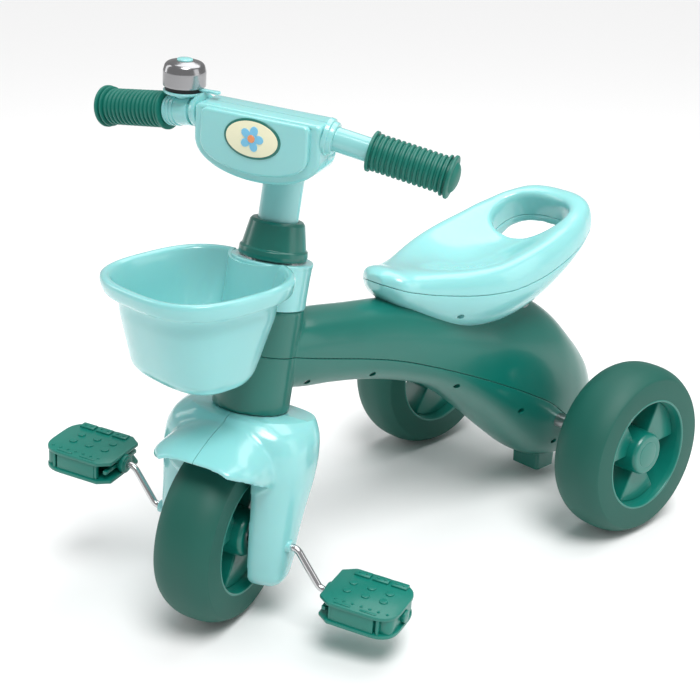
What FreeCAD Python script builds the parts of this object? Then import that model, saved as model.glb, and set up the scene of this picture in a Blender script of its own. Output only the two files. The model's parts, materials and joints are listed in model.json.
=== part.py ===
import FreeCAD, Part
import math
import os

import Sketcher
from FreeCAD import Placement, Rotation, Vector

# Children's tricycle. Millimetres, +Z up, the front points along -Y, +X is the rider's left.
# The wheels stand on the plane z = 0. The front assembly is stored turned to the rider's left.

doc = FreeCAD.newDocument("tricycle")

# ---------------------------------------------------------------- driving dimensions

DIMENSIONS = [
    ("wheel_radius", 95.0, "all three wheels"),
    ("wheel_width", 60.0, "over both faces"),
    ("tread_edge_radius", 85.3, "where the shoulder meets the flat face"),
    ("shoulder_width", 12.0, "axial depth of the rounded shoulder"),
    ("rim_radius", 62.5, "outside of the plastic rim, inside of the tyre"),
    ("rim_opening_radius", 59.0, "inside of the rim"),
    ("spoke_thickness", 36.0, "the three fan spokes"),
    ("hub_radius", 23.5, "wheel hub outside"),
    ("hub_cap_radius", 14.7, "press-in cap over the axle end"),
    ("hub_cap_depth", 11.0, "recess for the axle end"),
    ("axle_radius", 5.0, "steel rear axle"),
    ("running_clearance", 0.05, "radial, at every turning fit"),
    ("side_clearance", 0.5, "axial, beside every turning piece"),
    ("rear_axle_y", 222.0, "rear axle behind the origin"),
    ("rear_track_outer", 187.8, "outer face of a rear wheel from the centre"),
    ("front_wheel_y", -220.0, "front wheel centre before steering"),
    ("front_axle_height", 95.7, "front wheel centre"),
    ("steering_foot_y", -223.8, "where the steering axis meets the ground"),
    ("rake_angle", 12.26, "degrees, top of the steering axis leans back"),
    ("steering_angle", 23.1, "degrees, stored turn to the rider's left"),
    ("stem_radius", 19.6, "steering column tube"),
    ("stem_wall", 2.0, "steering column wall"),
    ("head_radius", 38.0, "head tube outside"),
    ("head_bore_radius", 24.0, "head tube bore, holds the bushes"),
    ("head_bottom", 212.0, "head tube lower end, height on the steering axis"),
    ("head_top", 313.0, "head tube upper end, height on the steering axis"),
    ("collar_radius", 39.5, "collar over the head tube"),
    ("collar_top", 357.0, "collar upper end, height on the steering axis"),
    ("shell_wall", 3.0, "moulded shells"),
    ("crank_radius", 3.5, "chromed crank rod"),
    ("crank_throw", 32.5, "pedal spindle from the wheel axis"),
    ("crank_angle", 11.0, "degrees, stored turn of the crank"),
    ("crank_straight", 80.0, "half length of the straight middle of the crank"),
    ("spindle_start", 110.0, "where the pedal spindle begins"),
    ("spindle_end", 197.0, "outer end of the pedal spindle"),
    ("pedal_inner", 121.0, "inner side of a pedal from the centre"),
    ("pedal_outer", 200.5, "outer side of a pedal from the centre"),
    ("pedal_width", 68.0, "front to back"),
    ("pedal_thickness", 24.0, "between the treads"),
    ("bar_radius", 11.2, "handlebar tube"),
    ("bar_wall", 1.5, "handlebar tube wall"),
    ("bar_y", -174.0, "middle of the handlebar before steering"),
    ("bar_height", 495.0, "middle of the handlebar"),
    ("bar_bend", 66.0, "where the handlebar turns down and back"),
    ("bar_end", 178.0, "end flange of a grip from the centre"),
    ("bar_end_y", -159.0, "grip end before steering"),
    ("bar_end_height", 476.5, "grip end height"),
    ("grip_length", 76.0, "between the end flange and the inner flange"),
    ("grip_radius", 15.6, "between the ribs"),
    ("grip_rib_radius", 17.2, "over the ribs"),
    ("grip_flange_radius", 19.8, "end flange"),
    ("bell_radius", 20.0, "bell dome"),
    ("bell_x", -87.0, "bell centre before steering"),
]

sheet = doc.addObject("Spreadsheet::Sheet", "Dims")
for row, (alias, value, note) in enumerate(DIMENSIONS, start=1):
    sheet.set("A%d" % row, alias)
    sheet.set("B%d" % row, "%g" % value)
    sheet.setAlias("B%d" % row, alias)
    sheet.set("C%d" % row, note)
doc.recompute()


class Size:
    """A length that knows both its value and the expression that gives it."""

    def __init__(self, value, text):
        self.value = value
        self.text = text

    @staticmethod
    def of(other):
        return other if isinstance(other, Size) else Size(other, "%.6g" % other)

    def join(self, other, sign, value):
        return Size(value, "(%s %s %s)" % (self.text, sign, Size.of(other).text))

    def __add__(self, other):
        return self.join(other, "+", self.value + Size.of(other).value)

    def __sub__(self, other):
        return self.join(other, "-", self.value - Size.of(other).value)

    def __mul__(self, other):
        return self.join(other, "*", self.value * Size.of(other).value)

    def __truediv__(self, other):
        return self.join(other, "/", self.value / Size.of(other).value)

    def __neg__(self):
        return Size(-self.value, "(0 - %s)" % self.text)


D = {alias: Size(float(sheet.get(alias)), "Dims.%s" % alias) for alias, _, _ in DIMENSIONS}
V = {alias: size.value for alias, size in D.items()}

# ---------------------------------------------------------------- places and directions

RAKE = math.radians(V["rake_angle"])
STEER_FOOT = Vector(0, V["steering_foot_y"], 0)
STEER_AXIS = Vector(0, math.sin(RAKE), math.cos(RAKE))
WHEEL_INNER = V["rear_track_outer"] - V["wheel_width"]

# Turns a piece of the front assembly from straight ahead to its stored place.
TURNED = Placement(Vector(), Rotation(STEER_AXIS, V["steering_angle"]), STEER_FOOT)

# Takes a piece drawn along +Z, with z as height on the steering axis, onto that axis.
COLUMN = Placement(STEER_FOOT, Rotation(Vector(1, 0, 0), -V["rake_angle"]))

CRANK = math.radians(V["crank_angle"])
FRONT_AXLE = Vector(0, V["front_wheel_y"], V["front_axle_height"])
# From the wheel axis to the spindle of the left pedal, before steering.
THROW = Vector(0, -math.sin(CRANK), -math.cos(CRANK)) * V["crank_throw"]

ALONG_X = Rotation(Vector(0, 1, 0), 90)


def on_axis(height):
    """A length along the steering axis whose point has this height."""
    return height / math.cos(RAKE)


def axis_point(height):
    return STEER_FOOT + STEER_AXIS * on_axis(height)


# ---------------------------------------------------------------- builders

NODES = {}


def keep(obj, node, place=None):
    """Name a finished sub-part and put it in its place."""
    obj.Label = node
    if place is not None:
        obj.Placement = place
    NODES[node] = obj
    return obj


def keep_shape(shape, node, place=None):
    """A sub-part whose shape is worked out below with Part's own functions."""
    feature = doc.addObject("Part::Feature", node)
    feature.Shape = shape
    own_place = feature.Placement
    return keep(feature, node, own_place if place is None else place.multiply(own_place))


def new_body(name):
    return doc.addObject("PartDesign::Body", name)


def plane_of(body, role):
    for origin_feature in body.Origin.OriginFeatures:
        if origin_feature.Role == role:
            return origin_feature
    raise ValueError(role)


def closed_sketch(body, name, role, points):
    """A closed outline whose corners are tied to the sheet."""
    sketch = body.newObject("Sketcher::SketchObject", name)
    sketch.AttachmentSupport = [(plane_of(body, role), "")]
    sketch.MapMode = "FlatFace"
    corners = [(Size.of(a), Size.of(b)) for a, b in points]
    count = len(corners)
    for i in range(count):
        here, there = corners[i], corners[(i + 1) % count]
        start = Vector(here[0].value, here[1].value, 0)
        end = Vector(there[0].value, there[1].value, 0)
        sketch.addGeometry(Part.LineSegment(start, end), False)
    for i in range(count):
        sketch.addConstraint(Sketcher.Constraint("Coincident", i, 2, (i + 1) % count, 1))
        for kind, size, axis in (("DistanceX", corners[i][0], -2), ("DistanceY", corners[i][1], -1)):
            if abs(size.value) < 1e-9:
                sketch.addConstraint(Sketcher.Constraint("PointOnObject", i, 1, axis))
                continue
            ends = (-1, 1, i, 1) if size.value > 0 else (i, 1, -1, 1)
            size = size if size.value > 0 else -size
            index = sketch.addConstraint(Sketcher.Constraint(kind, *ends, size.value))
            sketch.setExpression("Constraints[%d]" % index, size.text)
    return sketch


def revolve_in(body, name, points, axis="H_Axis"):
    """Turn an outline drawn as (along, radius) about its long axis."""
    sketch = closed_sketch(body, name + "_outline", "XY_Plane", points)
    turn = body.newObject("PartDesign::Revolution", name)
    turn.Profile = sketch
    turn.ReferenceAxis = (sketch, [axis])
    turn.Angle = 360
    return turn


def turned_body(name, points):
    """A revolved body whose axis is X and whose outline is (x, radius)."""
    body = new_body(name)
    revolve_in(body, name + "_turn", points)
    return body


def cylinder(name, radius, height):
    obj = doc.addObject("Part::Cylinder", name)
    obj.setExpression("Radius", Size.of(radius).text)
    obj.setExpression("Height", Size.of(height).text)
    return obj


def tube(name, outer, inner, height):
    """A plain tube along +Z from its own base."""
    cut = doc.addObject("Part::Cut", name)
    cut.Base = cylinder(name + "_outside", outer, height)
    cut.Tool = cylinder(name + "_bore", inner, height)
    return cut


def group(name, members):
    """Identical pieces that share one node as separate solids."""
    compound = doc.addObject("Part::Compound", name)
    compound.Links = members
    return compound


def moved(shape, place):
    copy = shape.copy()
    copy.Placement = place.multiply(copy.Placement)
    return copy


# Where a ring starts, in radians: away from the centre plane and from every parting line.
RING_START = 0.9


def sampled_ring(point_at, count=28):
    """A smooth closed wire through points given by an angle."""
    points = [point_at(RING_START + 2 * math.pi * i / count) for i in range(count)]
    curve = Part.BSplineCurve()
    curve.interpolate(Points=points, PeriodicFlag=True)
    return Part.Wire([curve.toShape()])


def squared(value, power):
    """A signed power, for superellipses."""
    return math.copysign(abs(value) ** power, value)


def level_ring(y, z, half_x, half_y, fullness):
    """A superellipse in a level plane."""
    power = 2.0 / fullness
    return sampled_ring(
        lambda t: Vector(
            half_x * squared(math.cos(t), power), y + half_y * squared(math.sin(t), power), z
        )
    )


def upright_ring(y, half_x, z_low, z_widest, z_high, fullness=2.4):
    """A superellipse across the tricycle, with its widest place at its own height."""
    power = 2.0 / fullness

    def point(t):
        reach = z_high - z_widest if math.sin(t) > 0 else z_widest - z_low
        x = half_x * squared(math.cos(t), power)
        return Vector(x, y, z_widest + reach * squared(math.sin(t), power))

    return sampled_ring(point)


def loft(rings):
    return Part.makeLoft(rings, True, False)


def prism_x(points, half_width):
    """A solid across the tricycle from an outline of (y, z) points joined by straight lines."""
    corners = [Vector(-half_width, y, z) for y, z in points]
    face = Part.Face(Part.makePolygon(corners + corners[:1]))
    return face.extrude(Vector(2 * half_width, 0, 0))


def round_rod(start, direction, radius, length):
    return Part.makeCylinder(radius, length, start, direction)


def largest_solid(shape):
    return max(shape.Solids, key=lambda solid: solid.Volume)


def screw(head_at, direction, head_radius, length):
    """A pan-head screw: the head's top is at head_at and the shank runs along direction."""
    head = round_rod(head_at, direction, head_radius, head_radius * 0.5)
    shank = round_rod(head_at + direction * (head_radius * 0.5), direction, head_radius * 0.45, length)
    return head.fuse(shank)


# ---------------------------------------------------------------- wheels


def tyre_body(name):
    """A tyre about X, centred on its own middle plane."""
    half = D["wheel_width"] / 2
    edge = D["tread_edge_radius"]
    rise = D["wheel_radius"] - edge
    shoulder = D["shoulder_width"]
    side = [
        (half, D["rim_radius"]),
        (half, edge),
        (half - shoulder * 0.12, edge + rise * 0.45),
        (half - shoulder * 0.45, edge + rise * 0.78),
        (half - shoulder, edge + rise * 0.93),
    ]
    other = [(-x, r) for x, r in reversed(side)]
    return turned_body(name, side + [(Size.of(0), D["wheel_radius"])] + other)


def rim_body(name, bore, cap_recess):
    """A rim about X: barrel and hub in one outline each, and three fan spokes."""
    body = new_body(name)
    half = D["wheel_width"] / 2
    opening = D["rim_opening_radius"]
    barrel = [(half, D["rim_radius"]), (half, opening), (Size.of(0), opening - 3), (-half, opening)]
    revolve_in(body, name + "_barrel", barrel + [(-half, D["rim_radius"])])
    hub = [(-half, bore), (-half, D["hub_radius"] - 5), (-half + 5, D["hub_radius"])]
    hub += [(half - 5, D["hub_radius"]), (half, D["hub_radius"] - 5)]
    if cap_recess:
        floor = half - D["hub_cap_depth"]
        hub += [(half, D["hub_cap_radius"]), (floor, D["hub_cap_radius"]), (floor, bore)]
    else:
        hub += [(half, bore)]
    revolve_in(body, name + "_hub", hub)
    reach = D["rim_opening_radius"] - 1.5
    inner = D["hub_radius"] - 3
    fan = [(inner, Size.of(9)), (reach * 0.93, Size.of(26)), (reach * 0.93, Size.of(-26)), (inner, Size.of(-9))]
    fan_sketch = closed_sketch(body, name + "_fan_outline", "YZ_Plane", fan)
    pad = body.newObject("PartDesign::Pad", name + "_fan")
    pad.Profile = fan_sketch
    pad.SideType = "Symmetric"
    pad.setExpression("Length", D["spoke_thickness"].text)
    doc.recompute()
    pattern = body.newObject("PartDesign::PolarPattern", name + "_fans")
    pattern.Originals = [pad]
    pattern.Axis = (plane_of(body, "X_Axis"), [""])
    pattern.Angle = 360
    pattern.Occurrences = 3
    body.Tip = pattern
    return body


def rear_wheel(side, name):
    """side is +1 for the rider's left."""
    centre = Vector(side * (V["rear_track_outer"] - V["wheel_width"] / 2), V["rear_axle_y"], V["wheel_radius"])
    facing = Rotation() if side > 0 else Rotation(Vector(0, 0, 1), 180)
    spokes_up = Rotation(Vector(1, 0, 0), 31)
    keep(tyre_body(name + "_rear_tyre"), name + "_rear_tyre", Placement(centre, facing))
    rim = rim_body(name + "_rear_rim", D["axle_radius"] + D["running_clearance"], True)
    keep(rim, name + "_rear_rim", Placement(centre, facing.multiply(spokes_up)))
    half = D["wheel_width"] / 2
    radius = D["hub_cap_radius"]
    rise = 1.2
    cap = turned_body(
        name + "_hub_cap",
        [
            (half + rise, Size.of(0)),
            (half + rise, radius - 1),
            (half, radius),
            (half - 3, radius),
            (half - 3, Size.of(0)),
        ],
    )
    keep(cap, name + "_hub_cap", Placement(centre, facing))


def front_wheel():
    place = TURNED.multiply(Placement(FRONT_AXLE, Rotation()))
    keep(tyre_body("front_tyre"), "front_tyre", place)
    rim = rim_body("front_rim", D["crank_radius"], False)
    spoke_turn = Placement(Vector(), Rotation(Vector(1, 0, 0), 31))
    keep(rim, "front_rim", place.multiply(spoke_turn))


# ---------------------------------------------------------------- main body

# Along the body, at each y: half width, lowest, widest and highest point of the section.
BODY_SECTIONS = [
    (-172, 30, 232, 266, 292),
    (-130, 36, 220, 258, 296),
    (-90, 37, 214, 249, 292),
    (-45, 38, 205, 237, 285),
    (5, 41, 190, 221, 278),
    (55, 46, 169, 199, 270),
    (100, 53, 137, 178, 263),
    (140, 59, 103, 160, 256),
    (180, 61.5, 66, 138, 246),
    (215, 62, 38, 116, 232),
    (245, 61, 28, 100, 210),
    (270, 57, 29, 90, 184),
    (294, 46, 37, 86, 158),
    (311, 30, 52, 86, 135),
    (320, 10, 74, 90, 108),
]

# The parting line of the two body shells, in side view.
PARTING = [(-260, 294), (-157, 266), (-93, 248.5), (-53, 237.5), (-13, 225), (42, 203), (83, 185)]
PARTING += [(128, 163.5), (175, 138.5), (209, 118), (236, 95), (270, 62), (300, 30), (330, -5)]


def body_solid(inset):
    rings = []
    for y, half, low, widest, high in BODY_SECTIONS:
        if inset and (y < -140 or y > 311):
            continue
        rings.append(upright_ring(y, half - inset, low + inset, widest, high - inset))
    return loft(rings)


def head_solid(radius, low, high):
    base = STEER_FOOT + STEER_AXIS * on_axis(low)
    return round_rod(base, STEER_AXIS, radius, on_axis(high - low))


def above_parting():
    """Everything above the parting line, as a block."""
    curve = Part.BSplineCurve()
    curve.interpolate(Points=[Vector(-120, y, z) for y, z in PARTING])
    first, last = PARTING[0], PARTING[-1]
    top = 500
    sides = Part.makePolygon(
        [
            Vector(-120, last[0], last[1]),
            Vector(-120, last[0], top),
            Vector(-120, first[0], top),
            Vector(-120, first[0], first[1]),
        ]
    )
    face = Part.Face(Part.Wire([curve.toShape()] + sides.Edges))
    return face.extrude(Vector(240, 0, 0))


# Where the shells' screws go in, on the rider's left; the right side mirrors them.
BODY_SCREWS = [(30, -129, 230), (33, -44, 216), (43, 70, 174), (57, 160, 123), (54, 224, 64)]
SEAT_SCREWS = [(50, 66, 256), (60, 160, 246)]
SCREW_LEAN = Vector(-0.86, 0.2, 0.47)
SCREW_HEAD = 3.6
RECESS_DEPTH = 4.0


def on_both_sides(points, direction):
    """Each point with its direction, and its mirror image across the centre plane."""
    unit = Vector(direction).normalize()
    pairs = []
    for x, y, z in points:
        pairs.append((Vector(x, y, z), unit))
        pairs.append((Vector(-x, y, z), Vector(-unit.x, unit.y, unit.z)))
    return pairs


def screw_set(pairs, length):
    """Bosses, recesses and screws for a set of (surface point, direction) pairs."""
    bosses, recesses, screws = [], [], []
    for point, direction in pairs:
        head_at = point + direction * RECESS_DEPTH
        bosses.append(round_rod(point - direction * 2, direction, 6.5, length + RECESS_DEPTH + 5))
        recesses.append(round_rod(point - direction * 8, direction, 4.0, RECESS_DEPTH + 8))
        screws.append(screw(head_at, direction, SCREW_HEAD, length))
    return [Part.makeCompound(shapes) for shapes in (bosses, recesses, screws)]


def body_shells():
    wall = V["shell_wall"]
    bosses, recesses, screws = screw_set(on_both_sides(BODY_SCREWS, SCREW_LEAN), 9)
    keep_shape(screws, "body_screws")
    outside = body_solid(0).fuse(head_solid(V["head_radius"], V["head_bottom"], V["head_top"]))
    cavity = body_solid(wall).cut(head_solid(V["head_radius"] - 0.5, 150, 350)).cut(bosses)
    bore = head_solid(V["head_bore_radius"], V["head_bottom"] - 5, V["head_top"] + 5)
    axle_hole = round_rod(
        Vector(-150, V["rear_axle_y"], V["wheel_radius"]), Vector(1, 0, 0), V["axle_radius"], 300
    )
    hollow = outside.cut(cavity).cut(bore)
    # Two ribs across the inside carry the axle.
    ribs = []
    for side in (-1, 1):
        x = side * 40 - 3
        block = Part.makeBox(6, 44, 72, Vector(x, V["rear_axle_y"] - 22, 40))
        ribs.append(block.common(cavity))
    hollow = hollow.fuse(ribs[0]).fuse(ribs[1]).cut(axle_hole).cut(recesses).cut(screws)
    upper = above_parting()
    top = largest_solid(hollow.common(upper))
    bottom = largest_solid(hollow.cut(upper))
    return outside, top, bottom


def rear_foot():
    """The block under the tail that stops the tricycle tipping back."""
    block = prism_x([(237, 34), (237, 10), (267, 10), (270, 34)], 20)
    edges = [e for e in block.Edges if e.BoundBox.ZLength > 20]
    return block.makeFillet(4, edges)


# ---------------------------------------------------------------- seat

# Along the seat, at each y: half width, depth of the bowl below the parting line,
# height of the parting line, rise of the edge above it, and depth of the dish.
SEAT_SECTIONS = [
    (-12, 12, 10, 300, 15, 0),
    (-4, 26, 16, 297, 24, 1),
    (20, 36, 26, 289, 31, 5),
    (50, 49, 39, 283, 37, 13),
    (80, 64, 49, 280, 41, 22),
    (112, 76, 54, 280, 46, 32),
    (150, 80, 54, 284, 52, 38),
    (188, 78, 47, 291, 53, 34),
    (222, 73, 34, 300, 51, 19),
    (252, 63, 22, 309, 47, 3),
    (276, 47, 14, 316, 35, 0),
    (291, 22, 7, 320, 18, 0),
]


def seat_ring(section, inset):
    y, half, bowl, widest, rise, dish = section

    def point(t):
        c, s = math.cos(t), math.sin(t)
        x = (half - inset) * squared(c, 0.9)
        if s < 0:
            return Vector(x, y, widest + (bowl - inset) * squared(s, 0.9))
        across = x / (0.84 * half)
        dip = dish * max(0.0, 1 - across * across) ** 1.4
        return Vector(x, y, widest + (rise - inset) * squared(s, 0.72) - dip)

    return sampled_ring(point, 32)


def seat_solid(inset):
    sections = SEAT_SECTIONS if not inset else SEAT_SECTIONS[2:-1]
    return loft([seat_ring(section, inset) for section in sections])


def seat_parting():
    """Everything above the seat's parting line."""
    points = [Vector(-100, y, widest) for y, _, _, widest, _, _ in SEAT_SECTIONS]
    points = [Vector(-100, -40, 305)] + points + [Vector(-100, 330, 322)]
    curve = Part.BSplineCurve()
    curve.interpolate(Points=points)
    top = 420
    sides = Part.makePolygon(
        [points[-1], Vector(-100, points[-1].y, top), Vector(-100, points[0].y, top), points[0]]
    )
    face = Part.Face(Part.Wire([curve.toShape()] + sides.Edges))
    return face.extrude(Vector(200, 0, 0))


def handle_hole(inset):
    """The grab hole through the back of the seat, leaning with the backrest."""
    lean = math.radians(10)
    along = Vector(0, -math.sin(lean), math.cos(lean))
    half_x, half_y = 46 + inset, 36 + inset
    rings = []
    for step in (-90, 60):
        middle = Vector(0, 234, 322) + along * step

        def point(t, middle=middle):
            return middle + Vector(half_x * squared(math.cos(t), 0.75), half_y * squared(math.sin(t), 0.85), 0)

        rings.append(sampled_ring(point))
    return loft(rings)


def seat_shells(body_outside):
    wall = V["shell_wall"]
    bosses, recesses, screws = screw_set(on_both_sides(SEAT_SCREWS, SCREW_LEAN), 9)
    keep_shape(screws, "seat_screws")
    cavity = seat_solid(wall).cut(handle_hole(wall)).cut(bosses)
    hollow = seat_solid(0).cut(cavity).cut(handle_hole(0)).cut(recesses).cut(screws)
    upper = seat_parting()
    top = largest_solid(hollow.common(upper))
    bottom = largest_solid(hollow.cut(upper).cut(body_outside))
    return top, bottom


# ---------------------------------------------------------------- basket and collar

BASKET_Y = -236.0
BASKET_TOP = 362.0
BASKET_LIP = 17.0


def basket_ring(z, half_x, half_y, y=BASKET_Y):
    return level_ring(y, z, half_x, half_y, 2.8)


def basket_bucket(inset):
    floor = 262 + inset
    return loft(
        [
            basket_ring(floor, 50 - inset, 30 - inset, -247),
            basket_ring(floor + 8, 61 - inset, 41 - inset, -246),
            basket_ring(floor + 35, 68 - inset, 51 - inset, -243),
            basket_ring(BASKET_TOP - BASKET_LIP, 76 - inset, 67 - inset),
            basket_ring(BASKET_TOP + (5 if inset else 0), 79 - inset, 72 - inset),
        ]
    )


def basket_shape():
    wall = V["shell_wall"]
    grip = V["collar_radius"] + 1.05
    around_column = head_solid(grip, 200, 420)
    bulge = head_solid(grip + wall, 200, 420).common(basket_bucket(0))
    shell = basket_bucket(0).cut(basket_bucket(wall))
    lip = loft(
        [basket_ring(BASKET_TOP - BASKET_LIP, 85, 78), basket_ring(BASKET_TOP, 86, 79)]
    ).cut(
        loft(
            [
                basket_ring(BASKET_TOP - BASKET_LIP - 1, 85 - wall, 78 - wall),
                basket_ring(BASKET_TOP - wall, 86 - wall, 79 - wall),
            ]
        )
    )
    lip = lip.cut(basket_bucket(wall))
    whole = shell.fuse(lip).fuse(bulge).cut(around_column)
    return largest_solid(whole)


def collar_shape():
    """The collar that caps the head tube and carries the basket."""
    low, high = V["head_top"], V["collar_top"]
    radius = V["collar_radius"]
    outside = head_solid(radius, low, high)
    hook = head_solid(radius + 1.0, high - 6, high)
    column = head_solid(V["stem_radius"] + 1, low - 1, high + 1)
    return outside.fuse(hook).cut(column)


# ---------------------------------------------------------------- fork

# Up the fork, at each height: middle, half width and half depth of the section.
FORK_SECTIONS = [
    (46, -217, 60, 13),
    (53, -216, 66, 20),
    (68, -214, 70, 25),
    (95, -212, 72.5, 28),
    (125, -205, 74.5, 34),
    (155, -197, 77, 42),
    (180, -193, 77, 47),
    (198, -190, 73, 49),
    (211, -188, 64, 47),
    (220, -187, 48, 40),
]

# Forward along the mudguard, at each y: half width, lower edge and crown.
VISOR_SECTIONS = [
    (-196, 56, 130, 208),
    (-225, 58, 142, 216),
    (-251, 56, 158, 213),
    (-274, 51, 178, 206),
    (-289, 38, 190, 200),
]

SLOT_HALF = 35.0
WHEEL_ROOM = 103.0


def visor_solid(inset):
    rings = []
    for y, half, low, high in VISOR_SECTIONS:
        middle = low + 0.35 * (high - low)
        rings.append(upright_ring(y - inset * 0.4, half - inset, low - 3 * inset, middle, high - inset, 2.3))
    return loft(rings)


def fork_solid(inset):
    rings = []
    for z, y, half_x, half_y in FORK_SECTIONS:
        rise = inset if z < 60 else -inset if z > 205 else 0
        rings.append(level_ring(y, z + rise, half_x - inset, half_y - inset, 3.0))
    return loft(rings)


def wheel_room(half, radius):
    """Room for the wheel between the legs, open in front, behind and below."""
    centre = Vector(-half, V["front_wheel_y"], V["front_axle_height"])
    disc = Part.makeCylinder(radius, 2 * half, centre, Vector(1, 0, 0))
    below = Part.makeBox(2 * half, 2 * radius, 120, centre + Vector(0, -radius, -120))
    return disc.fuse(below)


def fork_halves():
    wall = V["shell_wall"]
    crown = head_solid(V["head_radius"] - 2, 195, V["head_bottom"] - 0.5)
    outside = fork_solid(0).fuse(crown).fuse(visor_solid(0))
    cavity = fork_solid(wall).cut(wheel_room(SLOT_HALF + wall, WHEEL_ROOM + wall))
    cavity = cavity.cut(head_solid(V["stem_radius"] + 4, 150, 260))
    # Round sockets around the crank bushes stay solid.
    spindle = Vector(-90, V["front_wheel_y"], V["front_axle_height"])
    cavity = cavity.cut(round_rod(spindle, Vector(1, 0, 0), 11, 180))
    inside_visor = visor_solid(wall)
    shell = outside.cut(cavity).cut(inside_visor.common(Part.makeBox(130, 200, 200, Vector(-65, -330, 120))))
    shell = shell.cut(wheel_room(SLOT_HALF, WHEEL_ROOM))
    shell = shell.cut(head_solid(V["stem_radius"], 199, 260))
    shell = shell.cut(head_solid(400, V["head_bottom"] - 0.5, 320))
    shell = shell.cut(round_rod(spindle, Vector(1, 0, 0), V["crank_radius"] + 2.8, 180))
    screws = []
    for y in (-156, -209):
        head_at = Vector(-30, y, 202.0)
        shell = shell.cut(round_rod(head_at + Vector(-60, 0, 0), Vector(1, 0, 0), 4, 60))
        screws.append(screw(head_at, Vector(1, 0, 0), SCREW_HEAD, 40))
    screws = Part.makeCompound(screws)
    shell = shell.cut(screws)
    keep_shape(screws, "fork_screws", TURNED)
    left_block = Part.makeBox(200, 300, 400, Vector(0, -400, 0))
    left = largest_solid(shell.common(left_block))
    right = largest_solid(shell.cut(left_block))
    return left, right


# ---------------------------------------------------------------- crank and pedals


def bent_path(points, radius):
    """Straight runs joined by arcs of one radius."""
    edges = []
    start = points[0]
    for i in range(1, len(points) - 1):
        corner = points[i]
        into = (corner - points[i - 1]).normalize()
        away = (points[i + 1] - corner).normalize()
        turn = into.getAngle(away)
        back = radius * math.tan(turn / 2)
        arc_start = corner - into * back
        arc_end = corner + away * back
        bisector = (away - into).normalize()
        centre = corner + bisector * (radius / math.cos(turn / 2))
        middle = centre - bisector * radius
        edges.append(Part.LineSegment(start, arc_start).toShape())
        edges.append(Part.Arc(arc_start, middle, arc_end).toShape())
        start = arc_end
    edges.append(Part.LineSegment(start, points[-1]).toShape())
    return Part.Wire(edges)


def swept(path, radius):
    start = path.Edges[0].valueAt(path.Edges[0].FirstParameter)
    direction = path.Edges[0].tangentAt(path.Edges[0].FirstParameter)
    section = Part.Wire([Part.Circle(start, direction, radius).toShape()])
    return path.makePipeShell([section], True, False)


def crank_rod():
    straight, spindle = V["crank_straight"], V["spindle_start"]
    points = [
        FRONT_AXLE + Vector(-V["spindle_end"], 0, 0) - THROW,
        FRONT_AXLE + Vector(-spindle, 0, 0) - THROW,
        FRONT_AXLE + Vector(-straight, 0, 0),
        FRONT_AXLE + Vector(straight, 0, 0),
        FRONT_AXLE + Vector(spindle, 0, 0) + THROW,
        FRONT_AXLE + Vector(V["spindle_end"], 0, 0) + THROW,
    ]
    return swept(bent_path(points, 9.0), V["crank_radius"])


def crank_bush(side):
    bush = tube(
        "crank_bush_%s" % ("left" if side > 0 else "right"),
        D["crank_radius"] + 2.8,
        D["crank_radius"] + D["running_clearance"],
        Size.of(39),
    )
    start = SLOT_HALF + 0.5 if side > 0 else -SLOT_HALF - 0.5 - 39
    bush.Placement = TURNED.multiply(Placement(FRONT_AXLE + Vector(start, 0, 0), ALONG_X))
    return bush


def pedal(side, name):
    """Two treads joined by a wall, open on the crank side, on a tube for the spindle."""
    inner, outer = V["pedal_inner"], V["pedal_outer"]
    width, thick = V["pedal_width"], V["pedal_thickness"]
    length = outer - inner
    block = Part.makeBox(length, width, thick, Vector(inner, -width / 2, -thick / 2))
    corners = [e for e in block.Edges if e.BoundBox.ZLength > thick - 1]
    far = [e for e in corners if e.BoundBox.XMin > outer - 1]
    block = block.makeFillet(26, far)
    near = [e for e in block.Edges if e.BoundBox.ZLength > thick - 1 and e.BoundBox.XMax < inner + 1]
    block = block.makeFillet(14, near)
    hollow = Part.makeBox(length - 22, width - 8, thick - 8, Vector(inner - 10, -width / 2 + 4, -thick / 2 + 4))
    sleeve = Part.makeCylinder(7.5, length - 1, Vector(inner - 4, 0, 0), Vector(1, 0, 0))
    shape = block.cut(hollow).fuse(sleeve)
    for face in (-1, 1):
        for i in range(3):
            grip = Part.makeBox(16, 9, 2, Vector(inner + 15 + 19 * i, width / 2 - 11.5, 0))
            grip.translate(Vector(0, 0, thick / 2 - 0.01 if face > 0 else -thick / 2 - 1.99))
            shape = shape.fuse(grip)
    bore = Part.makeCylinder(
        V["crank_radius"] + V["running_clearance"], length + 20, Vector(inner - 10, 0, 0), Vector(1, 0, 0)
    )
    shape = largest_solid(shape.cut(bore))
    spin = Rotation() if side > 0 else Rotation(Vector(0, 0, 1), 180)
    if side < 0:
        shape = shape.mirror(Vector(0, 0, 0), Vector(0, 1, 0))
    centre = FRONT_AXLE + THROW * side
    keep_shape(shape, name + "_pedal", TURNED.multiply(Placement(centre, spin)))
    button = Part.makeCylinder(6.5, 3, Vector(outer, 0, 0), Vector(1, 0, 0))
    keep_shape(button, name + "_pedal_cap", TURNED.multiply(Placement(centre, spin)))


# ---------------------------------------------------------------- handlebar


def bar_points():
    mid = Vector(0, V["bar_y"], V["bar_height"])
    bend = V["bar_bend"]
    end_l = Vector(V["bar_end"], V["bar_end_y"], V["bar_end_height"])
    end_r = Vector(-V["bar_end"], V["bar_end_y"], V["bar_end_height"])
    return [end_r, mid + Vector(-bend, 0, 0), mid + Vector(bend, 0, 0), end_l]


def handlebar_tube():
    path = bent_path(bar_points(), 60.0)
    outside = swept(path, V["bar_radius"])
    return outside.cut(swept(path, V["bar_radius"] - V["bar_wall"]))


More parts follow.
